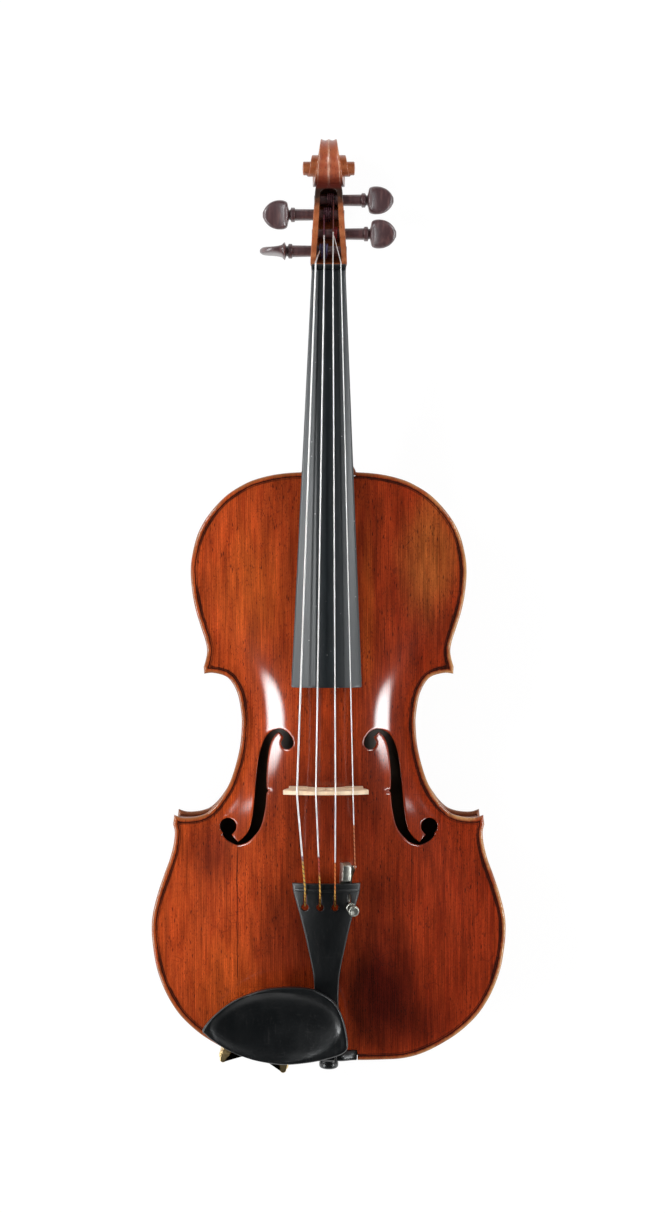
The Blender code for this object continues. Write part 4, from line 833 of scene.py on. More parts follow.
@dataclass
class Neck:
    """Neck, pegbox and scroll."""

    edge: float = 0.9
    flute: float = 0.9
    chamfer: float = 0.6
    groove: float = 0.9
    eye: tuple[float, float] = (622.1, 24.5)
    eye_half: float = 18.6
    eye_radius: float = 4.8

    def shaft(self) -> Patch:
        """Heel and shaft, under the fingerboard."""
        rows = smooth_line(HEEL_AND_SHAFT, 110)
        return loft(np.stack([neck_rim(row, float(lean(row[0]) * smoothstep(row[0], 404.0, 422.0)), 63)
            for row in rows]))

    def pegbox(self) -> Patch:
        """The pegbox: a section with rounded cheek tops and a hollow whose far end is an arch in plan."""
        ys = np.concatenate([np.linspace(HOLLOW_START - 0.55, HOLLOW_START - 0.01, 3),
            np.linspace(HOLLOW_START, HOLLOW_ARCH, 74),
            HOLLOW_ARCH + (HOLLOW_END - HOLLOW_ARCH) * np.sin(np.linspace(0.1, np.pi / 2, 14)),
            np.linspace(HOLLOW_END + 0.01, BOX_END, 8)])
        table = smooth_line(PEGBOX, 160)
        order = np.argsort(table[:, 0])
        sections = []
        for y in ys:
            row = np.concatenate([[y], table_at(table[order], y)])
            rim = neck_rim(row, 0.0, 72)
            top, half = row[1], row[3]
            floor, wide = table_at(PEGBOX_HOLLOW, y)
            shut = y < HOLLOW_START or y > HOLLOW_END
            if y > HOLLOW_ARCH:
                past = (y - HOLLOW_ARCH) / ARCH_DEEP
                wide = wide * np.clip(1 - past**ARCH_POWER, 0.002, 1) ** 0.4
            floor = top if shut else floor
            turn = np.linspace(0, np.pi / 2, 5)
            lip = np.column_stack([half - self.edge + self.edge * np.sin(turn),
                top - self.edge + self.edge * np.cos(turn)])
            lower = rim[(rim[:, 2] < top - self.edge - 0.2)]
            lower = resampled(lower, 56)
            inner_top = np.array([(wide + 0.4, top), (wide + 0.1, top - 0.12),
                (wide, top - (0.0 if shut else 0.5))])
            fall = np.array([(wide, floor + (0 if shut else 2.0)),
                (wide - 0.6 * min(1, wide / 2), floor + (0 if shut else 0.6)), (wide * 0.6, floor)])
            right = np.vstack([fall[::-1], inner_top[::-1], lip])
            left = right[::-1] * (-1, 1)
            ring = np.vstack([right, lower[:, [0, 2]], left])
            sections.append(np.column_stack([ring[:, 0], np.full(len(ring), y), ring[:, 1]]))
        return loft(np.stack(sections))

    def spiral(self, angle: Array) -> tuple[Array, Array]:
        """Radius and half width of the scroll at an angle."""
        table = np.array(SCROLL_TURNS, float)
        fine = smooth_line(table, 400)
        fine = fine[np.argsort(fine[:, 0])]
        return np.interp(angle, fine[:, 0], fine[:, 1]), np.interp(angle, fine[:, 0], fine[:, 2])

    def place(self, angle: Array, radius: Array, x: Array) -> Array:
        """Points at an angle and radius about the eye: (x, eye y + r sin, eye z - r cos)."""
        turn = np.radians(angle)
        return np.stack([x, self.eye[0] + radius * np.sin(turn), self.eye[1] - radius * np.cos(turn)], -1)

    def scroll(self) -> Patch:
        """The scroll as one closed surface.

        A band with two flutes and a ridge between them covers the first turn. On each side a hollowed
        shelf runs from the edge to the foot of the next wall, one turn further in, and the wall rises
        from that foot to the inner turn's own edge; the last turn's shelf runs in to the eye's wall.

        Returns:
            The surface.
        """
        angle = np.arange(-54, 811, 3.0)
        # rows one turn on from the first, and where the last shelf ends and the dome starts
        one, last = 120, 168
        radius, half = self.spiral(angle)
        inner = radius[one:]
        foot = half[:-one] - self.groove
        side = np.linspace(-1, 1, 25)
        first = angle[: one + 1, None]
        wide = (half[: one + 1] - self.chamfer)[:, None]
        fade = smoothstep(306 - first, 0, 60)
        flutes = self.flute * np.abs(np.sin(np.pi * side)) * fade
        band = self.place(first, radius[: one + 1, None] - flutes, side * wide)
        points, faces, start = [], [], 0
        shelf_u = np.linspace(0, 1, 8)
        core = 4.55
        rings = []

        def add(grid: Array) -> int:
            nonlocal start
            rows, columns = grid.shape[:2]
            points.append(grid.reshape(-1, 3))
            faces.append(quads(rows, columns) + start)
            start += rows * columns
            return start - rows * columns

        band_at = add(band)
        columns = len(side)
        ends: list[Array] = []
        for flip in (-1, 1):
            lip = np.array([0, 0.3, 0.7, 1.0])
            drop = self.chamfer * (1 - np.cos(lip * np.pi / 2))
            out = self.chamfer * np.sin(lip * np.pi / 2)
            rim = self.place(angle[:, None], radius[:, None] - drop,
                flip * (half[:, None] - self.chamfer + out))
            rim_at = add(rim)
            wall_u = np.linspace(0, 1, 5)
            start_x, end_x = foot[:, None], (half[one:] - self.chamfer)[:, None]
            wall = self.place(angle[one:, None], inner[:, None] + 0 * wall_u,
                flip * (start_x + (end_x - start_x) * wall_u))
            wall_at = add(wall)
            shelf_r = (radius[: last + 1, None] - self.chamfer) * (1 - shelf_u) + inner[:, None] * shelf_u
            cove = self.groove * shelf_u + 0.55 * np.sin(np.pi * shelf_u)
            shelf = self.place(angle[: last + 1, None], shelf_r, flip * (half[: last + 1, None] - cove))
            shelf_at = add(shelf)
            turn = slice(last, len(angle))
            edge_r, edge_x = (radius[turn] - self.chamfer)[:, None], half[turn, None]
            sunk = smoothstep(angle[turn, None], 810, 450) * cove
            dome_r = edge_r + (np.minimum(core, edge_r) - edge_r) * shelf_u
            dome = self.place(angle[turn, None], dome_r, flip * (edge_x - sunk))
            dome_at = add(dome)
            rows = len(angle) - last
            tip = start
            points.append(np.array([(flip * self.eye_half * 0.75, *self.eye)]))
            start += 1
            row_end = dome_at + np.arange(1, rows + 1) * len(shelf_u) - 1
            faces.append(np.column_stack([row_end[:-1], row_end[1:], np.full(rows - 1, tip)]))
            count = len(angle)
            grid_row = lambda at, width, row: at + row * width + np.arange(width)
            entry = np.concatenate([grid_row(rim_at, len(lip), 0)[:-1],
                grid_row(shelf_at, len(shelf_u), 0)[:-1], grid_row(wall_at, len(wall_u), 0)[:-1]])
            ends.append(entry)
            hub = np.concatenate([grid_row(shelf_at, len(shelf_u), last)[:-1],
                grid_row(wall_at, len(wall_u), count - 1 - one)[:-1],
                grid_row(rim_at, len(lip), count - 1)[:-1], grid_row(dome_at, len(shelf_u), rows - 1),
                [tip], grid_row(dome_at, len(shelf_u), 0)[::-1][:-1]])
            rings.append(hub[None])
        low = band_at + np.arange(columns)
        high = band_at + one * columns + np.arange(columns)
        closing = np.concatenate([low[:-1], ends[1], high[::-1][:-1], ends[0][::-1]])
        faces += rings + [closing[None]]
        return Patch(np.vstack(points), faces)

    def eyes(self) -> list[Patch]:
        """The two eyes: short round buttons with softened rims and slightly domed ends."""
        rim = np.linspace(0, np.pi / 2, 6)
        soft = np.column_stack([self.eye_half - 1.1 + 0.7 * np.sin(rim),
            self.eye_radius - 0.7 * (1 - np.cos(rim))])
        profile = np.vstack([(9.0, self.eye_radius), soft, (self.eye_half - 0.15, 2.4), (self.eye_half, 0.8)])
        return [turned(profile, (0, *self.eye), (flip, 0, 0), (0, 1, 0), 56) for flip in (1, -1)]

    def build(self, look: Finishes) -> None:
        """Makes the neck in four pieces, the scroll welded along its seams."""
        base = {"edge": 50.0, "inner": 0.0}
        lay("Neck_shaft", self.shaft().marked(**base), "instrument", "maple_varnish", look.maple)
        lay("Pegbox", self.pegbox().marked(**base), "instrument", "maple_varnish", look.maple)
        scroll = lay("Scroll", self.scroll().marked(**base), "instrument", "maple_varnish", look.maple,
                     replaces=["neck"])
        weld(scroll)
        lay("Scroll_eyes", joined(*self.eyes()).marked(**base), "instrument", "maple_varnish", look.maple)


def weld(piece: bpy.types.Object) -> None:
    """Joins points that lie on each other, and turns the faces out."""
    edit = bmesh.new()
    edit.from_mesh(piece.data)
    bmesh.ops.remove_doubles(edit, verts=edit.verts, dist=2e-6)
    bmesh.ops.recalc_face_normals(edit, faces=edit.faces)
    edit.to_mesh(piece.data)
    edit.free()
    piece.data.shade_smooth()
    piece.data.set_sharp_from_angle(angle=np.radians(40))


# Fingerboard, pegs and strings

@dataclass
class Board:
    """Fingerboard, nut and saddle."""

    nut_front: float = 544.9
    nut_top: float = 60.8
    nut_half: float = 11.7
    end: float = 258.1
    end_half: float = 23.85
    crown: float = 60.0
    slope: float = 0.1246
    radius: float = 42.0
    facet: float = -7.5
    low_nut: float = 52.8
    low_end: float = 82.8

    def half(self, y: float) -> float:
        """Half width at a distance along."""
        return self.nut_half + (self.end_half - self.nut_half) * (self.nut_front - y) / (self.nut_front
            - self.end)

    def top(self, x: Array, y: float) -> Array:
        """Height of the top: round, but flat from the facet line to the edge under the C string."""
        half = self.half(y)
        drop = lambda at: self.radius - np.sqrt(self.radius**2 - at**2)
        share = np.clip((self.facet - x) / (self.facet + half), 0, 1)
        flat = drop(self.facet) + (drop(half) - drop(self.facet)) * share
        return self.crown + self.slope * (self.nut_front - y) - np.where(x < self.facet, flat, drop(x))

    def board(self, look: Finishes) -> None:
        """The fingerboard, with softened edges and a hollow under its free end."""
        sections = []
        ys = np.concatenate([[self.nut_front - 0.3], np.linspace(540, 400, 40), np.linspace(397, 262, 60),
                             self.end + np.array([2.4, 1.2, 0.6, 0.25, 0.08, 0])])
        for y in ys:
            half, low = self.half(y), float(table_at([(self.end, self.low_end),
                (self.nut_front, self.low_nut)], y)[0])
            near = self.end + 1.2 - y
            ease = 0.7 * (1 - np.sqrt(max(0.0, 1 - (near / 1.2) ** 2))) if near > 0 else 0.0
            across = np.concatenate([np.linspace(-half + 0.6, self.facet - 0.25, 20),
                self.facet + np.array([-0.08, 0.08]), np.linspace(self.facet + 0.25, half - 0.6, 39)])
            top = np.column_stack([across, self.top(across, y)])
            turn = np.linspace(np.pi / 2, 0, 5)[1:]
            edge = float(self.top(np.array([half]), y)[0])
            right = np.column_stack([half - 0.6 + 0.6 * np.cos(turn), edge - 0.4 + 0.4 * np.sin(turn)])
            hollow = 2.6 * float(smoothstep(np.array([y]), 400, 380)[0])
            under = np.linspace(1, -1, 17)
            low_x = under * (half - 0.5)
            low_z = low + hollow * (1 - under**2)
            corner = np.array([(half, low + 0.9), (half - 0.15, low + 0.25)])
            ring = np.vstack([top, right, corner, np.column_stack([low_x, low_z]), corner[::-1] * (-1, 1),
                              right[::-1] * (-1, 1)])
            middle = ring.mean(axis=0)
            ring = middle + (ring - middle) * (1 - ease / 12)
            sections.append(np.column_stack([ring[:, 0] + lean(y), np.full(len(ring), y), ring[:, 1]]))
        lay("Fingerboard", loft(np.stack(sections)), "instrument", "ebony", look.board,
            replaces=["fingerboard"])

    def nut(self, look: Finishes) -> None:
        """The nut, cut with a groove under each string."""
        xs = np.linspace(-11.9, 11.9, 200)
        crown = self.nut_top + 0.75 - 0.0035 * xs**2
        for diameter, nut_x, *_ in STRINGS.values():
            radius = diameter / 2 + 0.12
            inside_groove = np.clip(1 - ((xs - nut_x) / radius) ** 2, 0, 1)
            crown = np.where(inside_groove > 0,
                self.nut_top + 0.3 + diameter / 2 + 0.05 - radius * np.sqrt(inside_groove), crown)
        ease = 0.5 * smoothstep(np.abs(xs), 11.2, 11.9)
        sections = []
        for x, z, soft in zip(xs, crown, ease):
            profile = np.array([(self.nut_front, 52.9), (NUT_BACK - soft, 52.9), (NUT_BACK - soft, 58.0),
                (548.6 - soft, z - 1.2), (547.7 - soft, z - 0.35), (546.9, z - soft), (546.2, z - soft),
                (self.nut_front + 0.2, z - 0.35 - soft), (self.nut_front, z - 0.8 - soft)])
            sections.append(np.column_stack([np.full(len(profile), x), profile]))
        lay("Nut", loft(np.stack(sections)), "instrument", "ebony", look.ebony, replaces=["nut"])

    def saddle(self, look: Finishes) -> None:
        """The saddle, rounded where the tailgut crosses it."""
        profile = [(0.2, 56.15), (7.1, 56.15), (7.1, 61.5), (4.6, 64.8), (2.2, 65.6), (0.6, 64.6),
            (0.2, 62.5)]
        soft = softened(profile, 0.9, 4, closed=True)
        xs = np.concatenate([[-19.5, -19.4], np.linspace(-19.1, 19.1, 49), [19.4, 19.5]])
        sections = []
        for x in xs:
            tall = 1 - 0.5 * float(smoothstep(np.array(abs(x)), 8.0, 19.0))
            end = 1 - 0.6 * max(0.0, abs(x) - 19.1)
            rise = (soft[:, 1] - 56.15) * tall
            sections.append(np.column_stack([np.full(len(soft), x), 3.6 + (soft[:, 0] - 3.6) * end,
                56.15 + rise * end]))
        lay("Saddle", loft(np.stack(sections)), "instrument", "ebony", look.ebony, replaces=["saddle"])

    def build(self, look: Finishes) -> None:
        """Makes the three pieces."""
        self.board(look)
        self.nut(look)
        self.saddle(look)


# Strings: diameter, x at the nut, x where it leaves its peg, x at the bridge,
# turns on the peg, winding's start
STRINGS = {
    "c": (1.2, -9.0, -6.3, -21.0, 3.5, -0.4),
    "g": (1.0, -3.1, -3.3, -8.4, 3.5, 1.9),
    "d": (0.9, 2.9, 3.4, 4.6, 3.5, -1.3),
    "a": (0.7, 8.4, 3.3, 16.3, 2.5, 6.2),
}
# Pegs: y, height of the axis, side of the head, turn of the head at rest
PEGS = {
    "c": (560.8, 41.0, -1, 90.0),
    "g": (588.1, 31.0, -1, 8.0),
    "d": (599.3, 26.0, 1, -8.0),
    "a": (573.6, 36.5, 1, 22.0),
}


@dataclass
class Pegs:
    """Four pegs with the strings' windings on them."""

    small: float = 3.3
    large: float = 3.9
    collar_out: float = 12.9
    collar: tuple = ((0.0, 4.1, 4.1), (0.5, 5.1, 5.1), (2.8, 5.1, 5.1), (3.4, 3.6, 3.6), (4.4, 3.5, 3.5))
    head: tuple = ((4.4, 3.5, 3.5), (5.0, 6.0, 5.2), (5.8, 8.7, 6.2), (8.0, 9.9, 5.1), (11.0, 10.2, 4.0),
                   (14.5, 9.7, 3.5), (18.0, 8.1, 3.5), (20.8, 5.4, 3.2), (22.4, 2.7, 2.0))

    def cheek(self, y: float) -> float:
        """Half width of the pegbox at a distance along."""
        rows = np.array(PEGBOX)
        return float(np.interp(y, rows[:, 0], rows[:, 3]))

    def peg(self, name: str) -> Patch:
        """Shank, collar and head: rings (w cos a, t sin a (1 - d sin^2 a)), with flats dished by d."""
        y, z, side, turn = PEGS[name]
        cheek = self.cheek(y)
        start = cheek + self.collar_out
        shank = [(-cheek - 0.3, self.small, self.small), (cheek, self.large, self.large), (start, 4.1, 4.1)]
        shank = resampled(np.array(shank), 40)
        collar = softened(self.collar, 0.22, 3)[1:] + (start, 0, 0)
        head = smooth_line(self.head, 60)[1:] + (start, 0, 0)
        tip = head[-1] + np.array([(0.35, -0.7, -0.5), (0.5, -1.6, -1.2)])
        end = shank[0] + np.array([(-0.0, -0.35, -0.35)])
        rows = np.vstack([end, shank, collar, head, tip])
        angle = np.arange(56) * 2 * np.pi / 56
        dish = 0.3 * smoothstep(rows[:, 0] - start, 5.4, 8.0)[:, None]
        flat = rows[:, 1, None] * np.cos(angle)
        deep = rows[:, 2, None] * np.sin(angle) * (1 - dish * np.sin(angle) ** 2)
        tilt = np.radians(turn)
        x = side * np.repeat(rows[:, 0, None], 56, axis=1)
        return loft(np.stack([x, y + flat * np.cos(tilt) - deep * np.sin(tilt),
            z + flat * np.sin(tilt) + deep * np.cos(tilt)], -1))

    def winding(self, name: str) -> Patch:
        """The string's turns round its peg: an even helix that ends on top of the peg."""
        diameter, _, leave, _, turns, start = STRINGS[name]
        y, z = PEGS[name][:2]
        radius = (self.large + 0.2 + diameter / 2) / np.cos(np.pi / 16)
        t = np.linspace(0, 1, round(turns * 56) + 1)
        angle = np.pi / 2 - 2 * np.pi * turns * (1 - t)
        step = np.sign(leave - start) * (diameter + 0.45) * turns
        path = np.column_stack([leave - step * (1 - t), y + radius * np.cos(angle),
            z + radius * np.sin(angle)])
        return tube(path, diameter / 2, (1.0, 0.0, 0.0), 14)

    def build(self, look: Finishes) -> None:
        """Makes each peg and its winding, on the peg's own body."""
        for name in PEGS:
            lay(f"Peg_{name}", self.peg(name), f"peg_{name}", "rosewood", look.rosewood,
                replaces=[f"peg_{name}"])
            lay(f"Winding_{name}", self.winding(name), f"peg_{name}", "silk", look.silk[name],
                replaces=[f"winding_{name}"])


def bridge_crown(x: Array | float) -> Array | float:
    """Height of the bridge's top edge: an arc of radius 42, the A side lower."""
    off = x - LEAN
    return 111.0 - (42.0 - np.sqrt(42.0**2 - off**2)) - 0.04 * off


def tail_ridge(y: Array | float) -> Array | float:
    """Height of the tailpiece along its middle."""
    return 72.5 + 20.0 * (y - 9.5) / 116.6


def tail_top(x: Array | float, y: Array | float) -> Array | float:
    """Height of the tailpiece's top: its ridge less (x - axis)^2 / 100."""
    return tail_ridge(y) - (x - TAIL_AXIS) ** 2 / 100.0


TAIL_HOLES = {"c": -15.9, "g": -5.8, "d": 4.3}
TUNER_X = 14.5
TUNER_Y = 110.0
TUNER_BASE = np.array([TUNER_X, TUNER_Y, tail_top(TUNER_X, TUNER_Y)])


def tuner_place(local: Array) -> Array:
    """Puts points of the tuner on the tailpiece: front up by 9.74 degrees, then right side down by 15.

    Args:
        local: Points with x across, y along and z square to the tailpiece, from the tuner's base.

    Returns:
        The points on the viola.
    """
    angle, lift = np.radians(15.0), np.radians(9.74)
    x, y, z = np.moveaxis(np.asarray(local, float), -1, 0)
    y, z = y * np.cos(lift) - z * np.sin(lift), z * np.cos(lift) + y * np.sin(lift)
    return np.stack([x * np.cos(angle) + z * np.sin(angle), y, z * np.cos(angle) - x * np.sin(angle)],
        -1) + TUNER_BASE


@dataclass
class Strings:
    """Four strings from above their windings to the tailpiece, or to the tuner's hook."""

    hook: tuple[float, float, float] = (1.1, 27.4, 3.9)
    nut_top: float = 60.8

    def route(self, name: str) -> Array:
        """The centre line of a string, its bends rounded."""
        diameter, nut_x, leave, bridge_x, _, _ = STRINGS[name]
        peg_y, peg_z = PEGS[name][:2]
        half = diameter / 2
        bridge_z = float(bridge_crown(bridge_x)) + 0.3 + half
        winding = (4.1 + half) / np.cos(np.pi / 16)
        route = [(leave, peg_y - 1.0, peg_z + winding + diameter + 0.5),
            (nut_x, NUT_BACK + 0.4, self.nut_top + half + 0.15), (nut_x, 546.9, self.nut_top + 0.4 + half),
            (bridge_x, 190.35, bridge_z), (bridge_x, 187.15, bridge_z)]
        if name == "a":
            end = tuner_place(np.array(self.hook))
            route += [tuple(end + (0, 2.5, 0.6)), tuple(end)]
        else:
            x = TAIL_HOLES[name]
            fret = float(tail_top(x, 121.3)) + 1.4 + half
            route += [(x, 122.9, fret + 0.2), (x, 120.3, fret), (x, 117.1, float(tail_top(x, 117.1)) - half),
                      (x, 110.2, float(tail_top(x, 109.6)) - 2.6)]
        return softened(route, 0.8, 4)

    def build(self, look: Finishes) -> None:
        """Makes each string, as a smooth round cord."""
        for name, (diameter, *_) in STRINGS.items():
            path = self.route(name)
            spans = np.linalg.norm(np.diff(path, axis=0), axis=1)
            parts = [np.linspace(a, b, max(2, int(span / 6) + 2))[:-1] for a, b,
                span in zip(path, path[1:], spans)]
            line = np.vstack(parts + [path[-1:]])
            lay(f"String_{name}", tube(line, diameter / 2, (1.0, 0.0, 0.0), 16), "instrument", "steel_string",
                look.string[name], replaces=[f"string_{name}"])


# Bridge, tailpiece and button

@dataclass
class Bridge:
    """The bridge, cut from a flat blank that thins towards its top."""

    half: float = 28.6
    foot_back: float = 185.8
    foot_front: float = 190.4
    back: float = 187.5
    edge: float = 0.35

    def sole(self, x: Array) -> Array:
        """Height of the feet's underside: just over the belly's highest place under them."""
        x = np.atleast_1d(np.asarray(x, float))
        return np.maximum(belly_top(x, np.full_like(x, self.foot_back)),
            belly_top(x, np.full_like(x, self.foot_front))) + 0.15

    def half_outline(self, side: int) -> Array:
        """One half, from the top's middle round the wing, the foot and up to the arch between the feet."""
        wing = [(28.6, 0.0), (28.0, 96.6), (27.2, 93.8), (26.2, 91.0), (25.3, 88.2), (24.8, 85.4),
            (24.8, 82.6)]
        crown = np.linspace(0, self.half, 40)[:-1] * side + LEAN
        top = np.column_stack([crown, bridge_crown(crown)])
        edge = float(bridge_crown(LEAN + side * self.half))
        wing = smooth_line([(self.half * 1.0, edge), *wing[1:]], 26) * (side, 1) + (LEAN, 0)
        foot_x = LEAN + side * np.linspace(25.0, 13.0, 24)
        sole = np.column_stack([foot_x, self.sole(foot_x)])
        tip = softened([wing[-1], (LEAN + side * 25.3, sole[0, 1] + 3.4),
            (LEAN + side * 25.2, sole[0, 1] + 0.4), sole[0]], 1.2, 4)
        heel = [tuple(sole[-1]), (LEAN + side * 12.4, sole[-1, 1] + 2.4), (LEAN + side * 9.0, 80.5),
                (LEAN + side * 4.5, 83.0), (LEAN, 84.0)]
        return np.vstack([top, wing[:-1], tip[:-1], sole[:-1], smooth_line(heel, 20)])

    def build(self, look: Finishes) -> None:
        """Fills the elevation, with its heart and two kidneys, and rounds every edge."""
        right, left = self.half_outline(1), self.half_outline(-1)
        loop = np.vstack([right, left[1:-1][::-1]])
        heart = [(0, 98.6), (2.6, 99.4), (4.7, 97.6), (4.6, 94.2), (3.0, 91.4), (1.0, 90.6), (0, 88.6)]
        heart = np.array(heart + [(-x, z) for x, z in heart[-2:0:-1]]) + (LEAN, 0)
        holes = [smooth_line(heart, 60, closed=True)[:-1]]
        for side in (1, -1):
            kidney = [(12.3, 90.3), (14.0, 93.2), (17.2, 94.2), (19.6, 92.2), (19.4, 89.2), (17.0, 87.6),
                (15.2, 88.8), (13.4, 87.2), (12.2, 88.2)]
            holes.append(smooth_line(np.array(kidney) * (side, 1) + (LEAN, 0), 50, closed=True)[:-1])
        plan = plan_of(loop, holes, 1.3, (0.06, 0.15, 0.35, 0.8), (0.06, 0.15, 0.35, 0.8))
        x, z = plan.points.T
        rise = np.clip((z - 74) / 37, 0, 1)
        front = self.foot_front + (BRIDGE_FRONT - self.foot_front) * rise
        back = self.foot_back + (self.back - self.foot_back) * rise
        soft = round_over(np.minimum(plan.edge, plan.hole), self.edge)
        patch = plate_over(plan, front - soft, back + soft, stand_up=True)
        patch.slots = [0] * len(patch.faces)
        lay("Bridge", patch, "instrument", "bare_maple", look.bare_maple, replaces=["bridge"])


@dataclass
class Tailpiece:
    """Tailpiece with its fret, the cord that holds it, and the end button."""

    outline: tuple = ((126.1, 23.1), (120, 22.4), (111, 20.0), (101.1, 17.2), (91, 14.7), (82.2, 12.8),
        (72, 10.6), (63.2, 9.1), (55, 8.4), (45, 8.2), (28, 8.6), (9.5, 9.0))
    thickness: float = 4.0
    edge: float = 0.9
    slot_top: float = 118.6
    fret: float = 121.3
    button_height: float = 38.0
    button_neck: float = 3.9

    def keyhole(self, x: float, y: float, radius: float) -> Array:
        """A round hole with a narrow slot up towards the fret."""
        slot = 0.95
        edge = np.degrees(np.arcsin(slot / radius))
        ring = arc(x, y, radius, 90 + edge, 450 - edge, 40)
        top = arc(x, self.slot_top - slot, slot, 0, 180, 10)
        return np.vstack([ring, resampled(np.array([ring[-1], top[0]]), 8)[1:-1], top,
                          resampled(np.array([top[-1], ring[0]]), 8)[1:-1]])

    def plate(self, look: Finishes) -> None:
        """The arched plate with three keyholes, the tuner's and two holes for the cord."""
        side = smooth_line([(half, y) for y, half in self.outline], 110)
        right = side + (TAIL_AXIS, 0)
        left = side[::-1] * (-1, 1) + (TAIL_AXIS, 0)
        loop = np.vstack([right, np.linspace(right[-1], left[0], 18)[1:-1], left,
            np.linspace(left[-1], right[0], 40)[1:-1]])
        holes = [self.keyhole(x, 109.6, 2.5) for x in TAIL_HOLES.values()]
        holes.append(self.keyhole(TUNER_X - 0.5, TUNER_Y + 0.3, 2.75))
        holes += [arc(TAIL_AXIS + s * 4.5, 13.5, 1.4, 0, 345, 24) for s in (-1, 1)]
        plan = plan_of(loop, holes, 1.7, (0.08, 0.25, 0.55, 0.9, 1.5), (0.08, 0.25, 0.5))
        x, y = plan.points.T
        soft = round_over(plan.edge, self.edge)
        top = tail_top(x, y) - soft - round_over(plan.hole, 0.3)
        low = np.minimum(tail_top(x, y) - self.thickness + soft, top - 0.03)
        patch = plate_over(plan, top, low)
        patch.slots = [0] * len(patch.faces)
        lay("Tailpiece", patch, "instrument", "ebony", look.ebony, replaces=["tailpiece"])
        across = np.linspace(-21.7, 21.7, 60) + TAIL_AXIS
        profile = np.array([(-0.9, 0.3), (-0.8, 0.8), (-0.4, 1.08), (0, 1.15), (0.4, 1.08), (0.8, 0.8),
            (0.9, 0.3)])
        sections = [np.column_stack([np.full(7, x), self.fret + profile[:, 0],
            tail_top(x, self.fret) + profile[:, 1] - 0.15]) for x in across]
        lay("Tailpiece_fret", loft(np.stack(sections)), "instrument", "ebony", look.ebony,
            replaces=["tailpiece_fret"])

    def cord(self, look: Finishes) -> None:
        """One cord: out of the tailpiece, over the saddle, round the button's neck and back the same way."""
        wrap = self.button_neck + 1.25
        right = np.array([(TAIL_AXIS + 4.5, 13.5, 66.5), (4.4, 9.8, 66.3), (4.6, 6.2, 67.0),
            (4.8, 2.6, 67.2), (5.0, -0.2, 66.4), (5.1, -1.7, 63.5), (5.15, -1.9, 56.0),
            (wrap, -1.9, self.button_height + 2.0)])
        left = right * (-1, 1, 1)
        left[0, 0] = TAIL_AXIS - 4.5
        angle = np.linspace(0, -np.pi, 25)
        around = np.column_stack([wrap * np.cos(angle), np.full(25, -1.9),
            self.button_height + wrap * np.sin(angle)])
        path = softened(np.vstack([right, around, left[::-1]]), 1.2, 5)
        path = resampled(path, 260)
        wrapped = smoothstep(self.button_height + 12 - path[:, 2], 0, 6)[:, None]
        across = np.array([1.0, 0, 0]) * (1 - wrapped) + np.array([0, 1.0, 0]) * wrapped
        lay("Tailgut", tube(path, 0.9, across, 16), "instrument", "tail_cord", look.cord,
            replaces=["tailgut"])

    def button(self, look: Finishes) -> None:
        """The end button, turned with a collar, two rings and a rounded end."""
        neck = self.button_neck
        profile = [(-14.0, 3.1), (-13.6, 3.3), (-3.2, neck), (3.2, neck), (3.35, 5.9), (3.9, 6.5),
            (4.6, 6.7), (5.1, 6.7), (5.3, 6.35), (5.7, 6.35), (5.9, 6.7), (7.9, 6.7), (8.6, 6.5),
            (9.4, 5.9), (10.0, 4.6), (10.4, 2.6), (10.5, 0.6)]
        patch = turned(softened(profile, 0.3, 3), (0, 0, self.button_height), (0, -1, 0), (1, 0, 0), 64)
        lay("End_button", patch, "instrument", "ebony", look.ebony, replaces=["end_button"])

    def build(self, look: Finishes) -> None:
        """Makes the pieces."""
        self.plate(look)
        self.cord(look)
        self.button(look)


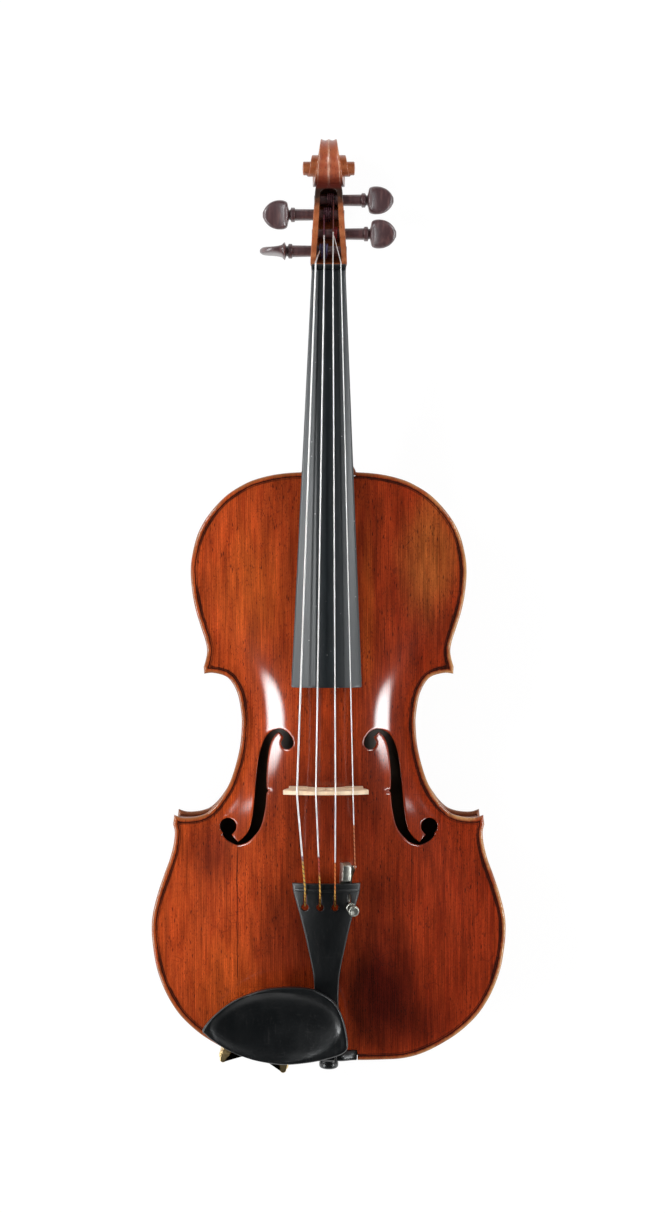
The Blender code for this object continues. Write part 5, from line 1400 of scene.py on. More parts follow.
@dataclass
class FineTuner:
    """The A string's fine tuner: frame with a threaded tube, ring nut, knurled screw and bent lever."""

    def slab(self, profile: Sequence, x0: float, x1: float, reach: float = 0.5) -> Patch:
        """A bent flat piece: its side view, softened, carried across with softened edges."""
        soft = softened(profile, reach, 4, closed=True)
        xs = [(x0, 0.25), (x0 + 0.08, 0.08), (x0 + 0.25, 0), (x1 - 0.25, 0), (x1 - 0.08, 0.08), (x1, 0.25)]
        sections = [np.column_stack([np.full(len(soft), x), inset(soft, pull)]) for x, pull in xs]
        return loft(tuner_place(np.stack(sections)))

    def round(self, profile: Sequence, ripple: Optional[Callable[[Array, Array], Array]] = None,
            bored: bool = False, sides: int = 48) -> Patch:
        """A round piece on the tuner's own axis."""
        make = turned_ring if bored else turned
        made = make(np.asarray(profile, float), (0, 0, 0), (0, 0, 1), (1, 0, 0), sides, ripple)
        made.points = tuner_place(made.points)
        return made.outward()

    def build(self, look: Finishes) -> None:
        """Makes the pieces, the screw and the lever on their own bodies."""
        frame_side = [(-4, -7.0), (29.5, -7.0), (30.2, -2.5), (29.0, 1.0), (18.6, 1.0), (17.4, -0.5),
            (17.4, -5.2), (-4, -5.2)]
        tube_wall = [(-6.6, 1.25), (-6.6, 1.75), (4.0, 1.75), (4.2, 1.6), (4.2, 1.25)]
        thread = lambda up, angle: 0.07 * np.cos(2 * np.pi * up / 0.6 + angle) * (up > -4)
        fine = resampled(np.array(tube_wall), 90)
        lay("Tuner_frame", joined(self.slab(frame_side, -6.4, -0.6), self.round(fine, None, True)),
            "instrument", "nickel_metal", look.nickel, replaces=["tuner_frame"])
        knurl = lambda up, angle: 0.07 * np.cos(angle * 36)
        nut = [(0.5, 2.0), (0.5, 2.8), (0.7, 3.1), (2.15, 3.1), (2.4, 2.8), (2.4, 2.0)]
        lay("Tuner_nut", self.round(nut, knurl, True, 216), "instrument", "nickel_metal", look.nickel,
            replaces=["tuner_nut"])
        screw = [(-7.6, 0.5), (-7.4, 0.8), (-7.0, 0.95), (7.0, 0.95), (7.1, 2.3), (7.4, 3.2), (7.8, 3.6),
            (10.1, 3.6), (10.6, 3.3), (10.85, 2.8), (10.7, 1.6), (10.6, 0.4)]
        grip = lambda up, angle: 0.11 * np.cos(angle * 30) * ((up > 7.5) & (up < 10.3)) + thread(up,
            angle) * (up < 7)
        patch = self.round(resampled(np.array(screw), 150), grip, False, 180)
        lay("Tuner_screw", patch, "tuner_screw", "nickel_metal", look.nickel, replaces=["tuner_screw"])
        side = [(-2.6, -9.9), (21.0, -9.9), (25.0, -8.8), (27.4, -6.0), (29.6, 3.0), (28.4, 3.4),
            (24.6, -2.5), (22.0, -7.0), (-2.6, -8.4)]
        pad = self.slab([(-2.4, -9.7), (3.0, -9.7), (3.0, -8.6), (-2.4, -8.6)], -2.2, 1.1, 0.3)
        lay("Tuner_lever", joined(self.slab(side, 0.0, 2.2, 0.9), pad), "tuner_lever", "nickel_metal",
            look.nickel, replaces=["tuner_lever"])


# Chinrest

@dataclass
class Chinrest:
    """The chinrest's cup, and the clamp that grips the body's edge."""

    outline: tuple = ((-85.4, 26.1), (-79.3, 34.3), (-67.0, 44.5), (-54.7, 50.6), (-42.4, 54.4),
        (-30.2, 55.8), (-17.9, 55.6), (-9.7, 54.0), (1.0, 48.2), (6.7, 41.6), (10.8, 30.9), (12.9, 19.5),
        (12.4, 12.9), (6.7, 8.8), (-5.6, 5.2), (-17.9, 3.1), (-30.2, 2.2), (-42.4, 3.5), (-54.7, 6.4),
        (-67.0, 11.3), (-77.7, 17.9), (-83.4, 22.7))
    barrels: tuple = (("left", -72.6, 2.0), ("right", -31.3, -5.2))
    eye: float = 2.2
    pad_top: float = 64.5
    cork_top: float = 62.0
    foot_low: float = 10.0
    foot_top: float = 12.0

    def top(self, x: Array, y: Array) -> Array:
        """The rim's plane less a shallow round cup."""
        rim = 83.5 + 6.0 * np.clip((y - 2) / 54, 0, 1) + 1.5 * np.clip((x + 40) / 50, -1, 1)
        across = ((x + 36) / 44) ** 2 + ((y - 28) / 24) ** 2
        return rim - 6.0 * np.clip(1 - across, 0, 1) ** 0.8

    def low(self, x: Array, y: Array) -> Array:
        """The underside, which comes down to the clamp near the body's edge and clears the tailpiece."""
        plain = self.top(x, y) - 4.5 - 1.5 * np.clip(1 - ((x + 36) / 44) ** 2, 0, 1)
        into_pad = np.clip((17.5 - y) / 5, 0, 1) * np.clip((-22.0 - x) / 4, 0, 1) * np.clip((x + 80) / 4,
            0, 1)
        return plain + (self.pad_top + 0.3 - plain) * into_pad

    def cup(self, look: Finishes) -> None:
        """The cup, its rim rounded."""
        loop = smooth_line(self.outline, 300, closed=True)[:-1]
        plan = plan_of(loop, step=1.8, rings=(0.1, 0.3, 0.6, 1.0, 1.5, 2.2, 3.0, 4.0, 5.2))
        x, y = plan.points.T
        soft = round_over(plan.edge, 1.5)
        inner = 0.9 * smoothstep(plan.edge, 1.2, 7.0)
        top = self.top(x, y) - soft - inner
        low = np.minimum(self.low(x, y) + round_over(plan.edge, 1.2), top - 0.05)
        lay("Chinrest", plate_over(plan, top, low), "instrument", "ebony", look.ebony,
            replaces=["chinrest_plate"])

    def plans(self) -> tuple[Array, Array]:
        """Plans of the clamp's pads, along the body's edge, and of its bars, out to the barrels."""
        edge = mirrored(BOUTS[2][::-1])
        edge = resampled(edge[(edge[:, 0] < -27) & (edge[:, 0] > -75.5)], 150)
        inward = rightward(edge, False)
        inward = inward if inward[0, 1] > 0 else -inward
        reach = np.full(len(edge), -2.5)
        for _, x, y in self.barrels:
            away = np.linalg.norm(edge - (x, y), axis=1)
            beside = np.sqrt(np.maximum(away**2 - away.min() ** 2, 0))
            eye = away.min() + np.sqrt(np.maximum(self.eye**2 - beside**2, 0))
            reach = np.maximum(reach, np.where(beside < self.eye + 0.8,
                np.where(beside < self.eye, eye, away.min() * 0.6), -2.5))
        pad = np.vstack([edge + inward * 2.0, (edge + inward * 7.0)[::-1]])
        bar = np.vstack([edge - inward * reach[:, None], (edge + inward * 7.0)[::-1]])
        return pad, bar

    def stud(self, x: float, y: float, low: float, high: float) -> Patch:
        """A threaded stud: radius 1.22 + 0.1 cos(2 pi up / 0.8 + angle)."""
        ups = np.linspace(low, high, 140)
        thread = lambda up, angle: 0.1 * np.cos(2 * np.pi * up / 0.8 + angle)
        return turned(np.column_stack([ups, np.full(140, 1.2)]), (x, y, 0), (0, 0, 1), (1, 0, 0), 24, thread)

    def clamp(self, look: Finishes) -> None:
        """Bracket and foot with their studs, the corks, and the two barrels between them."""
        pad, bar = self.plans()
        plan = plan_of(resampled(np.vstack([pad, pad[:1]]), 200)[:-1], step=1.5, rings=(0.2, 0.6))
        x, y = plan.points.T
        edge = distance_to(plan.points, closed_edge(np.vstack(BOUTS)))
        low = BELLY_EDGE_TOP + arch_height(x, y) - channel(edge) - round_over(edge, 1.9) + 0.03
        cork = plate_over(plan, np.full(len(x), self.cork_top), np.minimum(low, self.cork_top - 0.1))
        lay("Chinrest_cork", cork, "instrument", "cork", look.cork, replaces=["chinrest_cork"])
        studs = [self.stud(x, y, 43, 63) for _, x, y in self.barrels]
        lay("Chinrest_bracket", joined(prism(bar, self.cork_top + 0.05, self.pad_top), *studs),
            "instrument", "gold_metal", look.gold, replaces=["chinrest_bracket"])
        studs = [self.stud(x, y, 11, 33) for _, x, y in self.barrels]
        lay("Chinrest_foot", joined(prism(bar, self.foot_low, self.foot_top), *studs), "chinrest_foot",
            "gold_metal", look.gold, replaces=["chinrest_foot"])
        lay("Chinrest_foot_cork", prism(pad, self.foot_top + 0.02, 14.7, 0.2), "chinrest_foot", "cork",
            look.cork, replaces=["chinrest_foot_cork"])
        wall = [(24, 1.7), (24, 2.6), (24.4, 3.1), (25.2, 3.4), (26.5, 3.4), (26.7, 3.15), (27.1, 3.15),
            (27.3, 3.4), (36.8, 3.4), (37.1, 3.0), (38.9, 3.0), (39.2, 3.4), (48.7, 3.4), (48.9, 3.15),
            (49.3, 3.15), (49.5, 3.4), (50.8, 3.4), (51.6, 3.1), (52, 2.6), (52, 1.7)]
        for side, x, y in self.barrels:
            patch = turned_ring(np.array(wall), (x, y, 0), (0, 0, 1), (1, 0, 0), 48)
            lay(f"Barrel_{side}", patch, f"chinrest_barrel_{side}", "gold_metal", look.gold,
                replaces=[f"chinrest_barrel_{side}"])

    def build(self, look: Finishes) -> None:
        """Makes the pieces."""
        self.cup(look)
        self.clamp(look)


# Shader trees

def paint(red: float, green: float, blue: float) -> Colour:
    """A colour from 0 to 255 in each channel, as linear light."""
    share = np.array([red, green, blue]) / 255
    linear = np.where(share <= 0.04045, share / 12.92, ((share + 0.055) / 1.055) ** 2.4)
    return tuple(float(value) for value in linear)


Value = float | tuple | Socket


class Tree:
    """Short ways to fill a node tree."""

    def __init__(self, tree: bpy.types.NodeTree) -> None:
        """Starts on a tree.

        Args:
            tree: A material's or a group's node tree.
        """
        self.tree = tree

    def put(self, socket: Socket, value: Value) -> None:
        """Links a socket to another, or sets its value."""
        if isinstance(value, bpy.types.NodeSocket):
            self.tree.links.new(value, socket)
        elif socket.type == "RGBA":
            socket.default_value = (*value, 1.0)
        else:
            socket.default_value = value

    def node(self, kind: str, **settings: object) -> bpy.types.Node:
        """A new node with the settings named."""
        made = self.tree.nodes.new(kind)
        for name, value in settings.items():
            setattr(made, name, value)
        return made

    def math(self, operation: str, a: Value, b: Value = 0.0, c: Value = 0.0) -> Socket:
        """One step of arithmetic."""
        made = self.node("ShaderNodeMath", operation=operation)
        for socket, value in zip(made.inputs, (a, b, c)):
            self.put(socket, value)
        return made.outputs[0]

    def vector(self, operation: str, a: Value, b: Value = (0, 0, 0), c: Value = (0, 0, 0)) -> Socket:
        """One step of vector arithmetic."""
        made = self.node("ShaderNodeVectorMath", operation=operation)
        for socket, value in zip(made.inputs, (a, b, c)):
            self.put(socket, value)
        return made.outputs["Value" if operation in ("LENGTH", "DOT_PRODUCT") else "Vector"]

    def place(self) -> Socket:
        """Where a point lies, in millimetres as in this file."""
        at = self.node("ShaderNodeTexCoord").outputs["Object"]
        return self.vector("MULTIPLY_ADD", at, (1000, 1000, 1000), (0, FRAME_Y, 0))

    def axes(self, vector: Value) -> tuple[Socket, Socket, Socket]:
        """The three parts of a vector."""
        made = self.node("ShaderNodeSeparateXYZ")
        self.put(made.inputs[0], vector)
        return made.outputs[0], made.outputs[1], made.outputs[2]

    def mark(self, name: str) -> Socket:
        """A named value of the surface."""
        return self.node("ShaderNodeAttribute", attribute_name=name).outputs["Fac"]

    def mix(self, share: Value, a: Value, b: Value, blend: str = "MIX") -> Socket:
        """Two colours mixed."""
        made = self.node("ShaderNodeMix", data_type="RGBA", blend_type=blend, clamp_factor=True)
        for socket, value in ((made.inputs[0], share), (made.inputs[6], a), (made.inputs[7], b)):
            self.put(socket, value)
        return made.outputs[2]

    def span(self, value: Value, low: float, high: float, start: float = 0.0, end: float = 1.0) -> Socket:
        """A smooth step from start to end as the value goes from low to high."""
        made = self.node("ShaderNodeMapRange", interpolation_type="SMOOTHSTEP", clamp=True)
        for socket, each in zip(made.inputs, (value, low, high, start, end)):
            self.put(socket, each)
        return made.outputs[0]

    def noise(self, at: Value, stretch: tuple = (1, 1, 1), detail: float = 2.0, rough: float = 0.5) -> Socket:
        """Noise about 0.5, its features a unit wide where the stretch is 1."""
        made = self.node("ShaderNodeTexNoise", noise_dimensions="3D")
        self.put(made.inputs["Vector"], self.vector("MULTIPLY", at, stretch))
        self.put(made.inputs["Scale"], 1.0)
        self.put(made.inputs["Detail"], detail)
        self.put(made.inputs["Roughness"], rough)
        return made.outputs["Fac"]

    def cells(self, at: Value, stretch: tuple, feature: str = "F1") -> bpy.types.Node:
        """Voronoi cells."""
        made = self.node("ShaderNodeTexVoronoi", feature=feature)
        self.put(made.inputs["Vector"], self.vector("MULTIPLY", at, stretch))
        self.put(made.inputs["Scale"], 1.0)
        return made

    def bump(self, height: Value, deep: float, strength: float = 1.0,
            normal: Optional[Socket] = None) -> Socket:
        """A normal from a height of 0 to 1 that stands for this many millimetres."""
        made = self.node("ShaderNodeBump")
        self.put(made.inputs["Strength"], strength)
        self.put(made.inputs["Distance"], deep * MM)
        self.put(made.inputs["Height"], height)
        if normal is not None:
            self.put(made.inputs["Normal"], normal)
        return made.outputs[0]

    def use(self, group: bpy.types.NodeTree, **values: Value) -> dict[str, Socket]:
        """A shared group's outputs."""
        made = self.node("ShaderNodeGroup", node_tree=group)
        for name, value in values.items():
            self.put(made.inputs[name], value)
        return {socket.name: socket for socket in made.outputs}


def group(name: str, inputs: dict[str, str], outputs: Sequence[str],
        fill: Callable[[Tree, dict], dict]) -> bpy.types.NodeTree:
    """A shared node group.

    Args:
        name: Its name.
        inputs: Kind of each input socket, such as Float or Vector.
        outputs: Names of its outputs, all values.
        fill: Takes the tree and the inputs, and gives a socket for each output.

    Returns:
        The group.
    """
    made = bpy.data.node_groups.new(name, "ShaderNodeTree")
    for each, kind in inputs.items():
        made.interface.new_socket(each, in_out="INPUT", socket_type=f"NodeSocket{kind}")
    for each in outputs:
        made.interface.new_socket(each, in_out="OUTPUT", socket_type="NodeSocketFloat")
    tree = Tree(made)
    entry = tree.node("NodeGroupInput")
    found = fill(tree, {socket.name: socket for socket in entry.outputs if socket.name})
    leave = tree.node("NodeGroupOutput")
    for each in outputs:
        tree.put(leave.inputs[each], found[each])
    return made


def fill_grain(tree: Tree, given: dict) -> dict:
    """Spruce: a dark line every 1.3 mm across, wandering slowly, with fine fibres between."""
    at = given["Place"]
    across, _, _ = tree.axes(at)
    wander = tree.noise(at, (0.012, 0.0045, 0), 1.0)
    shifted = tree.math("MULTIPLY_ADD", wander, 14.0, across)
    uneven = tree.noise(at, (0.35, 0.0, 0), 1.0)
    phase = tree.math("MULTIPLY", tree.math("MULTIPLY_ADD", uneven, 1.5, shifted), 2 * np.pi / 1.3)
    wave = tree.math("MULTIPLY_ADD", tree.math("SINE", phase), 0.5, 0.5)
    strength = tree.span(tree.noise(at, (0.4, 0.006, 0), 2.0), 0.3, 0.7, 0.35, 1.0)
    line = tree.math("MULTIPLY", tree.span(wave, 0.35, 1.0), strength)
    fibre = tree.noise(at, (6.0, 0.22, 0), 2.0, 0.6)
    return {"Line": line, "Fibre": fibre}


def fill_flame(tree: Tree, given: dict) -> dict:
    """Maple: soft bands about 8 mm apart that lean outwards on each side, and fine pores along the grain."""
    at = given["Place"]
    across, along, _ = tree.axes(at)
    lean_out = tree.math("MULTIPLY", tree.math("ABSOLUTE", across), 0.28)
    wander = tree.noise(at, (0.03, 0.05, 0.03), 2.0)
    run = tree.math("MULTIPLY_ADD", wander, 16.0, tree.math("ADD", along, lean_out))
    wave = tree.math("MULTIPLY_ADD", tree.math("SINE", tree.math("MULTIPLY", run, 2 * np.pi / 8.0)), 0.5, 0.5)
    depth = tree.span(tree.noise(at, (0.02, 0.06, 0.05), 1.0), 0.3, 0.65, 0.3, 1.0)
    pores = tree.noise(at, (2.5, 0.25, 2.5), 3.0, 0.65)
    return {"Flame": tree.math("MULTIPLY", wave, depth), "Pores": pores}


def fill_specks(tree: Tree, given: dict) -> dict:
    """Short dashes along the grain, fine ones and coarse ones, crowded where slow noise is high."""
    at = given["Place"]
    crowd = tree.noise(at, (0.035, 0.022, 0.03), 2.0)
    dashes = []
    for stretch, few, many in (((1.6, 0.34, 1.0), 0.1, 0.6), ((0.8, 0.16, 0.5), 0.04, 0.3)):
        cells = tree.cells(at, stretch)
        chance, _, _ = tree.axes(cells.outputs["Color"])
        chosen = tree.math("LESS_THAN", chance, tree.span(crowd, 0.4, 0.66, few, many))
        dashes.append(tree.math("MULTIPLY", chosen,
            tree.span(cells.outputs["Distance"], 0.14, 0.34, 1.0, 0.0)))
    web = tree.cells(at, (0.12, 0.16, 0.12), "DISTANCE_TO_EDGE")
    cracks = tree.math("MULTIPLY", tree.span(web.outputs["Distance"], 0.0, 0.05, 1.0, 0.0),
                       tree.span(tree.noise(at, (0.05, 0.035, 0.05), 2.0), 0.56, 0.7))
    return {"Pits": tree.math("MAXIMUM", *dashes), "Cracks": cracks}


def fill_soft_patch(tree: Tree, given: dict) -> dict:
    """A soft oval: 1 inside it, 0 outside, its edge broken by slow noise."""
    away = tree.vector("DIVIDE", tree.vector("SUBTRACT", given["Place"], given["Centre"]), given["Size"])
    flat = tree.vector("MULTIPLY", away, (1, 1, 0))
    length = tree.vector("LENGTH", flat)
    broken = tree.math("MULTIPLY_ADD", tree.noise(given["Place"], (0.08, 0.03, 0.05), 3.0), 0.6, length)
    return {"Mask": tree.span(broken, 0.55, 1.55, 1.0, 0.0)}


def fill_edge(tree: Tree, given: dict) -> dict:
    """A plate's edge: varnish worn off the rim, dirt inside it, and the inlaid lines of the purfling."""
    uneven = tree.noise(given["Place"], (0.3, 0.3, 0.3), 4.0, 0.65)
    edge = tree.math("MULTIPLY_ADD", tree.math("SUBTRACT", uneven, 0.5), 1.4, given["Edge"])
    worn = tree.span(edge, 0.7, 2.9, 1.0, 0.0)
    reach = tree.span(tree.noise(given["Place"], (0.03, 0.03, 0.03), 2.0), 0.35, 0.65, 3.6, 5.2)
    past = tree.math("SUBTRACT", edge, reach)
    dirt = tree.math("MULTIPLY", tree.span(edge, 2.1, 3.2), tree.span(past, -0.8, 0.8, 1.0, 0.0))
    line = lambda at: tree.span(tree.math("ABSOLUTE", tree.math("SUBTRACT", given["Edge"], at)), 0.12, 0.3,
        1.0, 0.0)
    return {"Worn": worn, "Dirt": dirt, "Lines": tree.math("MAXIMUM", line(3.2), line(4.4))}


def fill_scuffs(tree: Tree, given: dict) -> dict:
    """Fine scratches two ways, and faint smears."""
    at = given["Place"]
    one = tree.span(tree.noise(tree.vector("MULTIPLY", at, (1.0, 0.05, 0.4)), (2.2, 1, 2.2), 2.0), 0.66, 0.72)
    two = tree.span(tree.noise(tree.vector("MULTIPLY", at, (0.06, 1.0, 0.4)), (1, 2.2, 2.2), 2.0), 0.68, 0.74)
    smear = tree.noise(at, (0.07, 0.05, 0.07), 3.0)
    return {"Scratch": tree.math("MAXIMUM", one, two), "Smear": smear}


class Shared(Enum):
    """The shared groups."""

    GRAIN = ("Spruce grain", {"Place": "Vector"}, ("Line", "Fibre"), fill_grain)
    FLAME = ("Maple flame", {"Place": "Vector"}, ("Flame", "Pores"), fill_flame)
    SPECKS = ("Varnish pits", {"Place": "Vector"}, ("Pits", "Cracks"), fill_specks)
    PATCH = ("Soft patch", {"Place": "Vector", "Centre": "Vector", "Size": "Vector"}, ("Mask",),
        fill_soft_patch)
    EDGE = ("Plate edge", {"Place": "Vector", "Edge": "Float"}, ("Worn", "Dirt", "Lines"), fill_edge)
    SCUFFS = ("Scuffs", {"Place": "Vector"}, ("Scratch", "Smear"), fill_scuffs)

    def tree(self) -> bpy.types.NodeTree:
        """The group, made when it is first used."""
        return bpy.data.node_groups.get(self.value[0]) or group(*self.value)


@dataclass(frozen=True)
class Sheen:
    """Constant settings of a finish's shader."""

    roughness: float = 0.4
    coat: float = 0.0
    coat_roughness: float = 0.1
    coat_ior: float = 1.5
    metallic: float = 0.0
    specular: float = 0.5


def finish(name: str, sheen: Sheen) -> tuple[bpy.types.Material, Tree, dict[str, Socket]]:
    """A new material.

    Args:
        name: Its name.
        sheen: Its constants.

    Returns:
        The material, its tree and its shader's inputs by name.
    """
    material = bpy.data.materials.new(name)
    material.use_nodes = True
    inputs = {socket.name: socket for socket in material.node_tree.nodes["Principled BSDF"].inputs}
    inputs["Roughness"].default_value = sheen.roughness
    inputs["Coat Weight"].default_value = sheen.coat
    inputs["Coat Roughness"].default_value = sheen.coat_roughness
    inputs["Coat IOR"].default_value = sheen.coat_ior
    inputs["Metallic"].default_value = sheen.metallic
    inputs["Specular IOR Level"].default_value = sheen.specular
    return material, Tree(material.node_tree), inputs


@dataclass(frozen=True)
class BellyVarnish:
    """Red-brown oil varnish over spruce, worn golden round the edge."""

    left: Colour = paint(184, 72, 27)
    right: Colour = paint(146, 47, 16)
    middle: Colour = paint(108, 34, 14)
    glow: Colour = paint(198, 86, 28)
    olive: Colour = paint(168, 88, 36)
    dark_red: Colour = paint(60, 8, 3)
    rim: Colour = paint(158, 98, 54)
    pale_rim: Colour = paint(206, 152, 96)
    dirt: Colour = paint(34, 13, 8)
    sheen: Sheen = Sheen(0.5, 1.0, 0.1, 1.65, specular=0.05)
    patches: tuple = (
        ("glow", (-54, 324, 0), (26, 45, 30), 0.9), ("glow", (-70, 52, 0), (26, 44, 30), 0.45),
        ("olive", (69, 345, 0), (22, 48, 30), 0.8), ("glow", (27, 312, 0), (5, 60, 30), 0.7),
        ("middle", (0, 178, 0), (48, 64, 30), 0.75), ("middle", (-26, 84, 0), (34, 56, 30), 0.7),
        ("middle", (78, 300, 0), (14, 26, 30), 0.4), ("middle", (-82, 146, 0), (18, 28, 30), 0.7),
        ("middle", (34, 92, 0), (22, 60, 30), 0.6),
        ("dark_red", (36, 48, 0), (32, 50, 30), 0.92), ("dark_red", (58, 26, 0), (34, 24, 30), 0.6),
    )
    cracks: tuple = ((-62.6, 101, 48, 0.9), (56.9, 110, 39, 0.55), (38.0, 293, 14, 0.7))

    def make(self) -> bpy.types.Material:
        """Builds the material."""
        material, tree, inputs = finish("Belly varnish", self.sheen)
        at = tree.place()
        across, along, _ = tree.axes(at)
        grain = tree.use(Shared.GRAIN.tree(), Place=at)
        specks = tree.use(Shared.SPECKS.tree(), Place=at)
        edge = tree.use(Shared.EDGE.tree(), Place=at, Edge=tree.mark("edge"))
        colour = tree.mix(tree.span(across, -70.0, 80.0), self.left, self.right)
        for name, centre, size, share in self.patches:
            mask = tree.use(Shared.PATCH.tree(), Place=at, Centre=centre, Size=size)["Mask"]
            colour = tree.mix(tree.math("MULTIPLY", mask, share), colour, getattr(self, name))
        mottle = tree.span(tree.noise(at, (0.09, 0.024, 0.05), 4.0, 0.6), 0.3, 0.7, 0.76, 1.16)
        streak = tree.span(tree.noise(at, (0.62, 0.028, 0.1), 4.0, 0.65), 0.3, 0.7, 0.7, 1.2)
        grit = tree.span(tree.noise(at, (1.5, 0.7, 1.0), 3.0, 0.7), 0.25, 0.75, 0.8, 1.2)
        shade = tree.math("MULTIPLY", tree.math("MULTIPLY", mottle, streak), grit)
        fibre = tree.span(grain["Fibre"], 0.25, 0.75, 0.9, 1.08)
        line = tree.math("MULTIPLY_ADD", grain["Line"], -0.38, 1.06)
        shade = tree.math("MULTIPLY", shade, tree.math("MULTIPLY", fibre, line))
        redder = tree.span(tree.noise(at, (0.2, 0.03, 0.1), 4.0, 0.6), 0.42, 0.68, 0.0, 0.5)
        colour = tree.mix(redder, colour, tree.mix(1.0, colour, (0.72, 0.5, 0.45), "MULTIPLY"))
        colour = tree.mix(1.0, colour, self.grey(tree, shade), "MULTIPLY")
        for x, y, reach, share in self.cracks:
            wobble = tree.math("MULTIPLY_ADD", tree.noise(at, (0, 0.05, 0), 2.0), 2.0,
                tree.math("SUBTRACT", across, x + 1.0))
            near = tree.span(tree.math("ABSOLUTE", wobble), 0.12, 0.42, share, 0.0)
            reached = tree.span(tree.math("ABSOLUTE", tree.math("SUBTRACT", along, y)), reach * 0.8, reach,
                1.0, 0.0)
            colour = tree.mix(tree.math("MULTIPLY", near, reached), colour, self.dirt)
        colour = tree.mix(tree.math("MULTIPLY", specks["Cracks"], 0.4), colour, self.dirt)
        colour = tree.mix(tree.math("MULTIPLY", specks["Pits"], 0.85), colour, self.dirt)
        colour = tree.mix(tree.math("MULTIPLY", edge["Dirt"], 0.85), colour, self.dirt)
        colour = tree.mix(tree.math("MULTIPLY", edge["Lines"], 0.7), colour, paint(20, 10, 7))
        rim = tree.mix(tree.span(across, 30.0, 100.0), self.rim, self.pale_rim)
        rim = tree.mix(tree.span(tree.noise(at, (0.12, 0.05, 0.1), 3.0), 0.45, 0.75, 0.0, 0.8), rim, colour)
        colour = tree.mix(edge["Worn"], colour, tree.mix(0.85, colour, rim))
        colour = tree.mix(tree.span(tree.mark("inner"), 0.5, 0.9), colour, paint(176, 138, 92))
        tree.put(inputs["Base Color"], colour)
        rough = tree.math("ADD", tree.math("MULTIPLY", edge["Worn"], 0.2),
            tree.span(mottle, 0.76, 1.16, 0.4, 0.48))
        tree.put(inputs["Roughness"], rough)
        height = tree.math("MULTIPLY_ADD", grain["Line"], -0.5, tree.math("MULTIPLY", specks["Pits"], -1.0))
        slow = tree.noise(at, (0.06, 0.03, 0.08), 1.0)
        normal = tree.bump(slow, 0.18)
        normal = tree.bump(height, 0.03, 1.0, normal)
        tree.put(inputs["Normal"], normal)
        return material

    @staticmethod
    def grey(tree: Tree, value: Socket) -> Socket:
        """A grey of this value, to multiply a colour by."""
        made = tree.node("ShaderNodeCombineColor")
        for socket in made.inputs:
            tree.put(socket, value)
        return made.outputs[0]


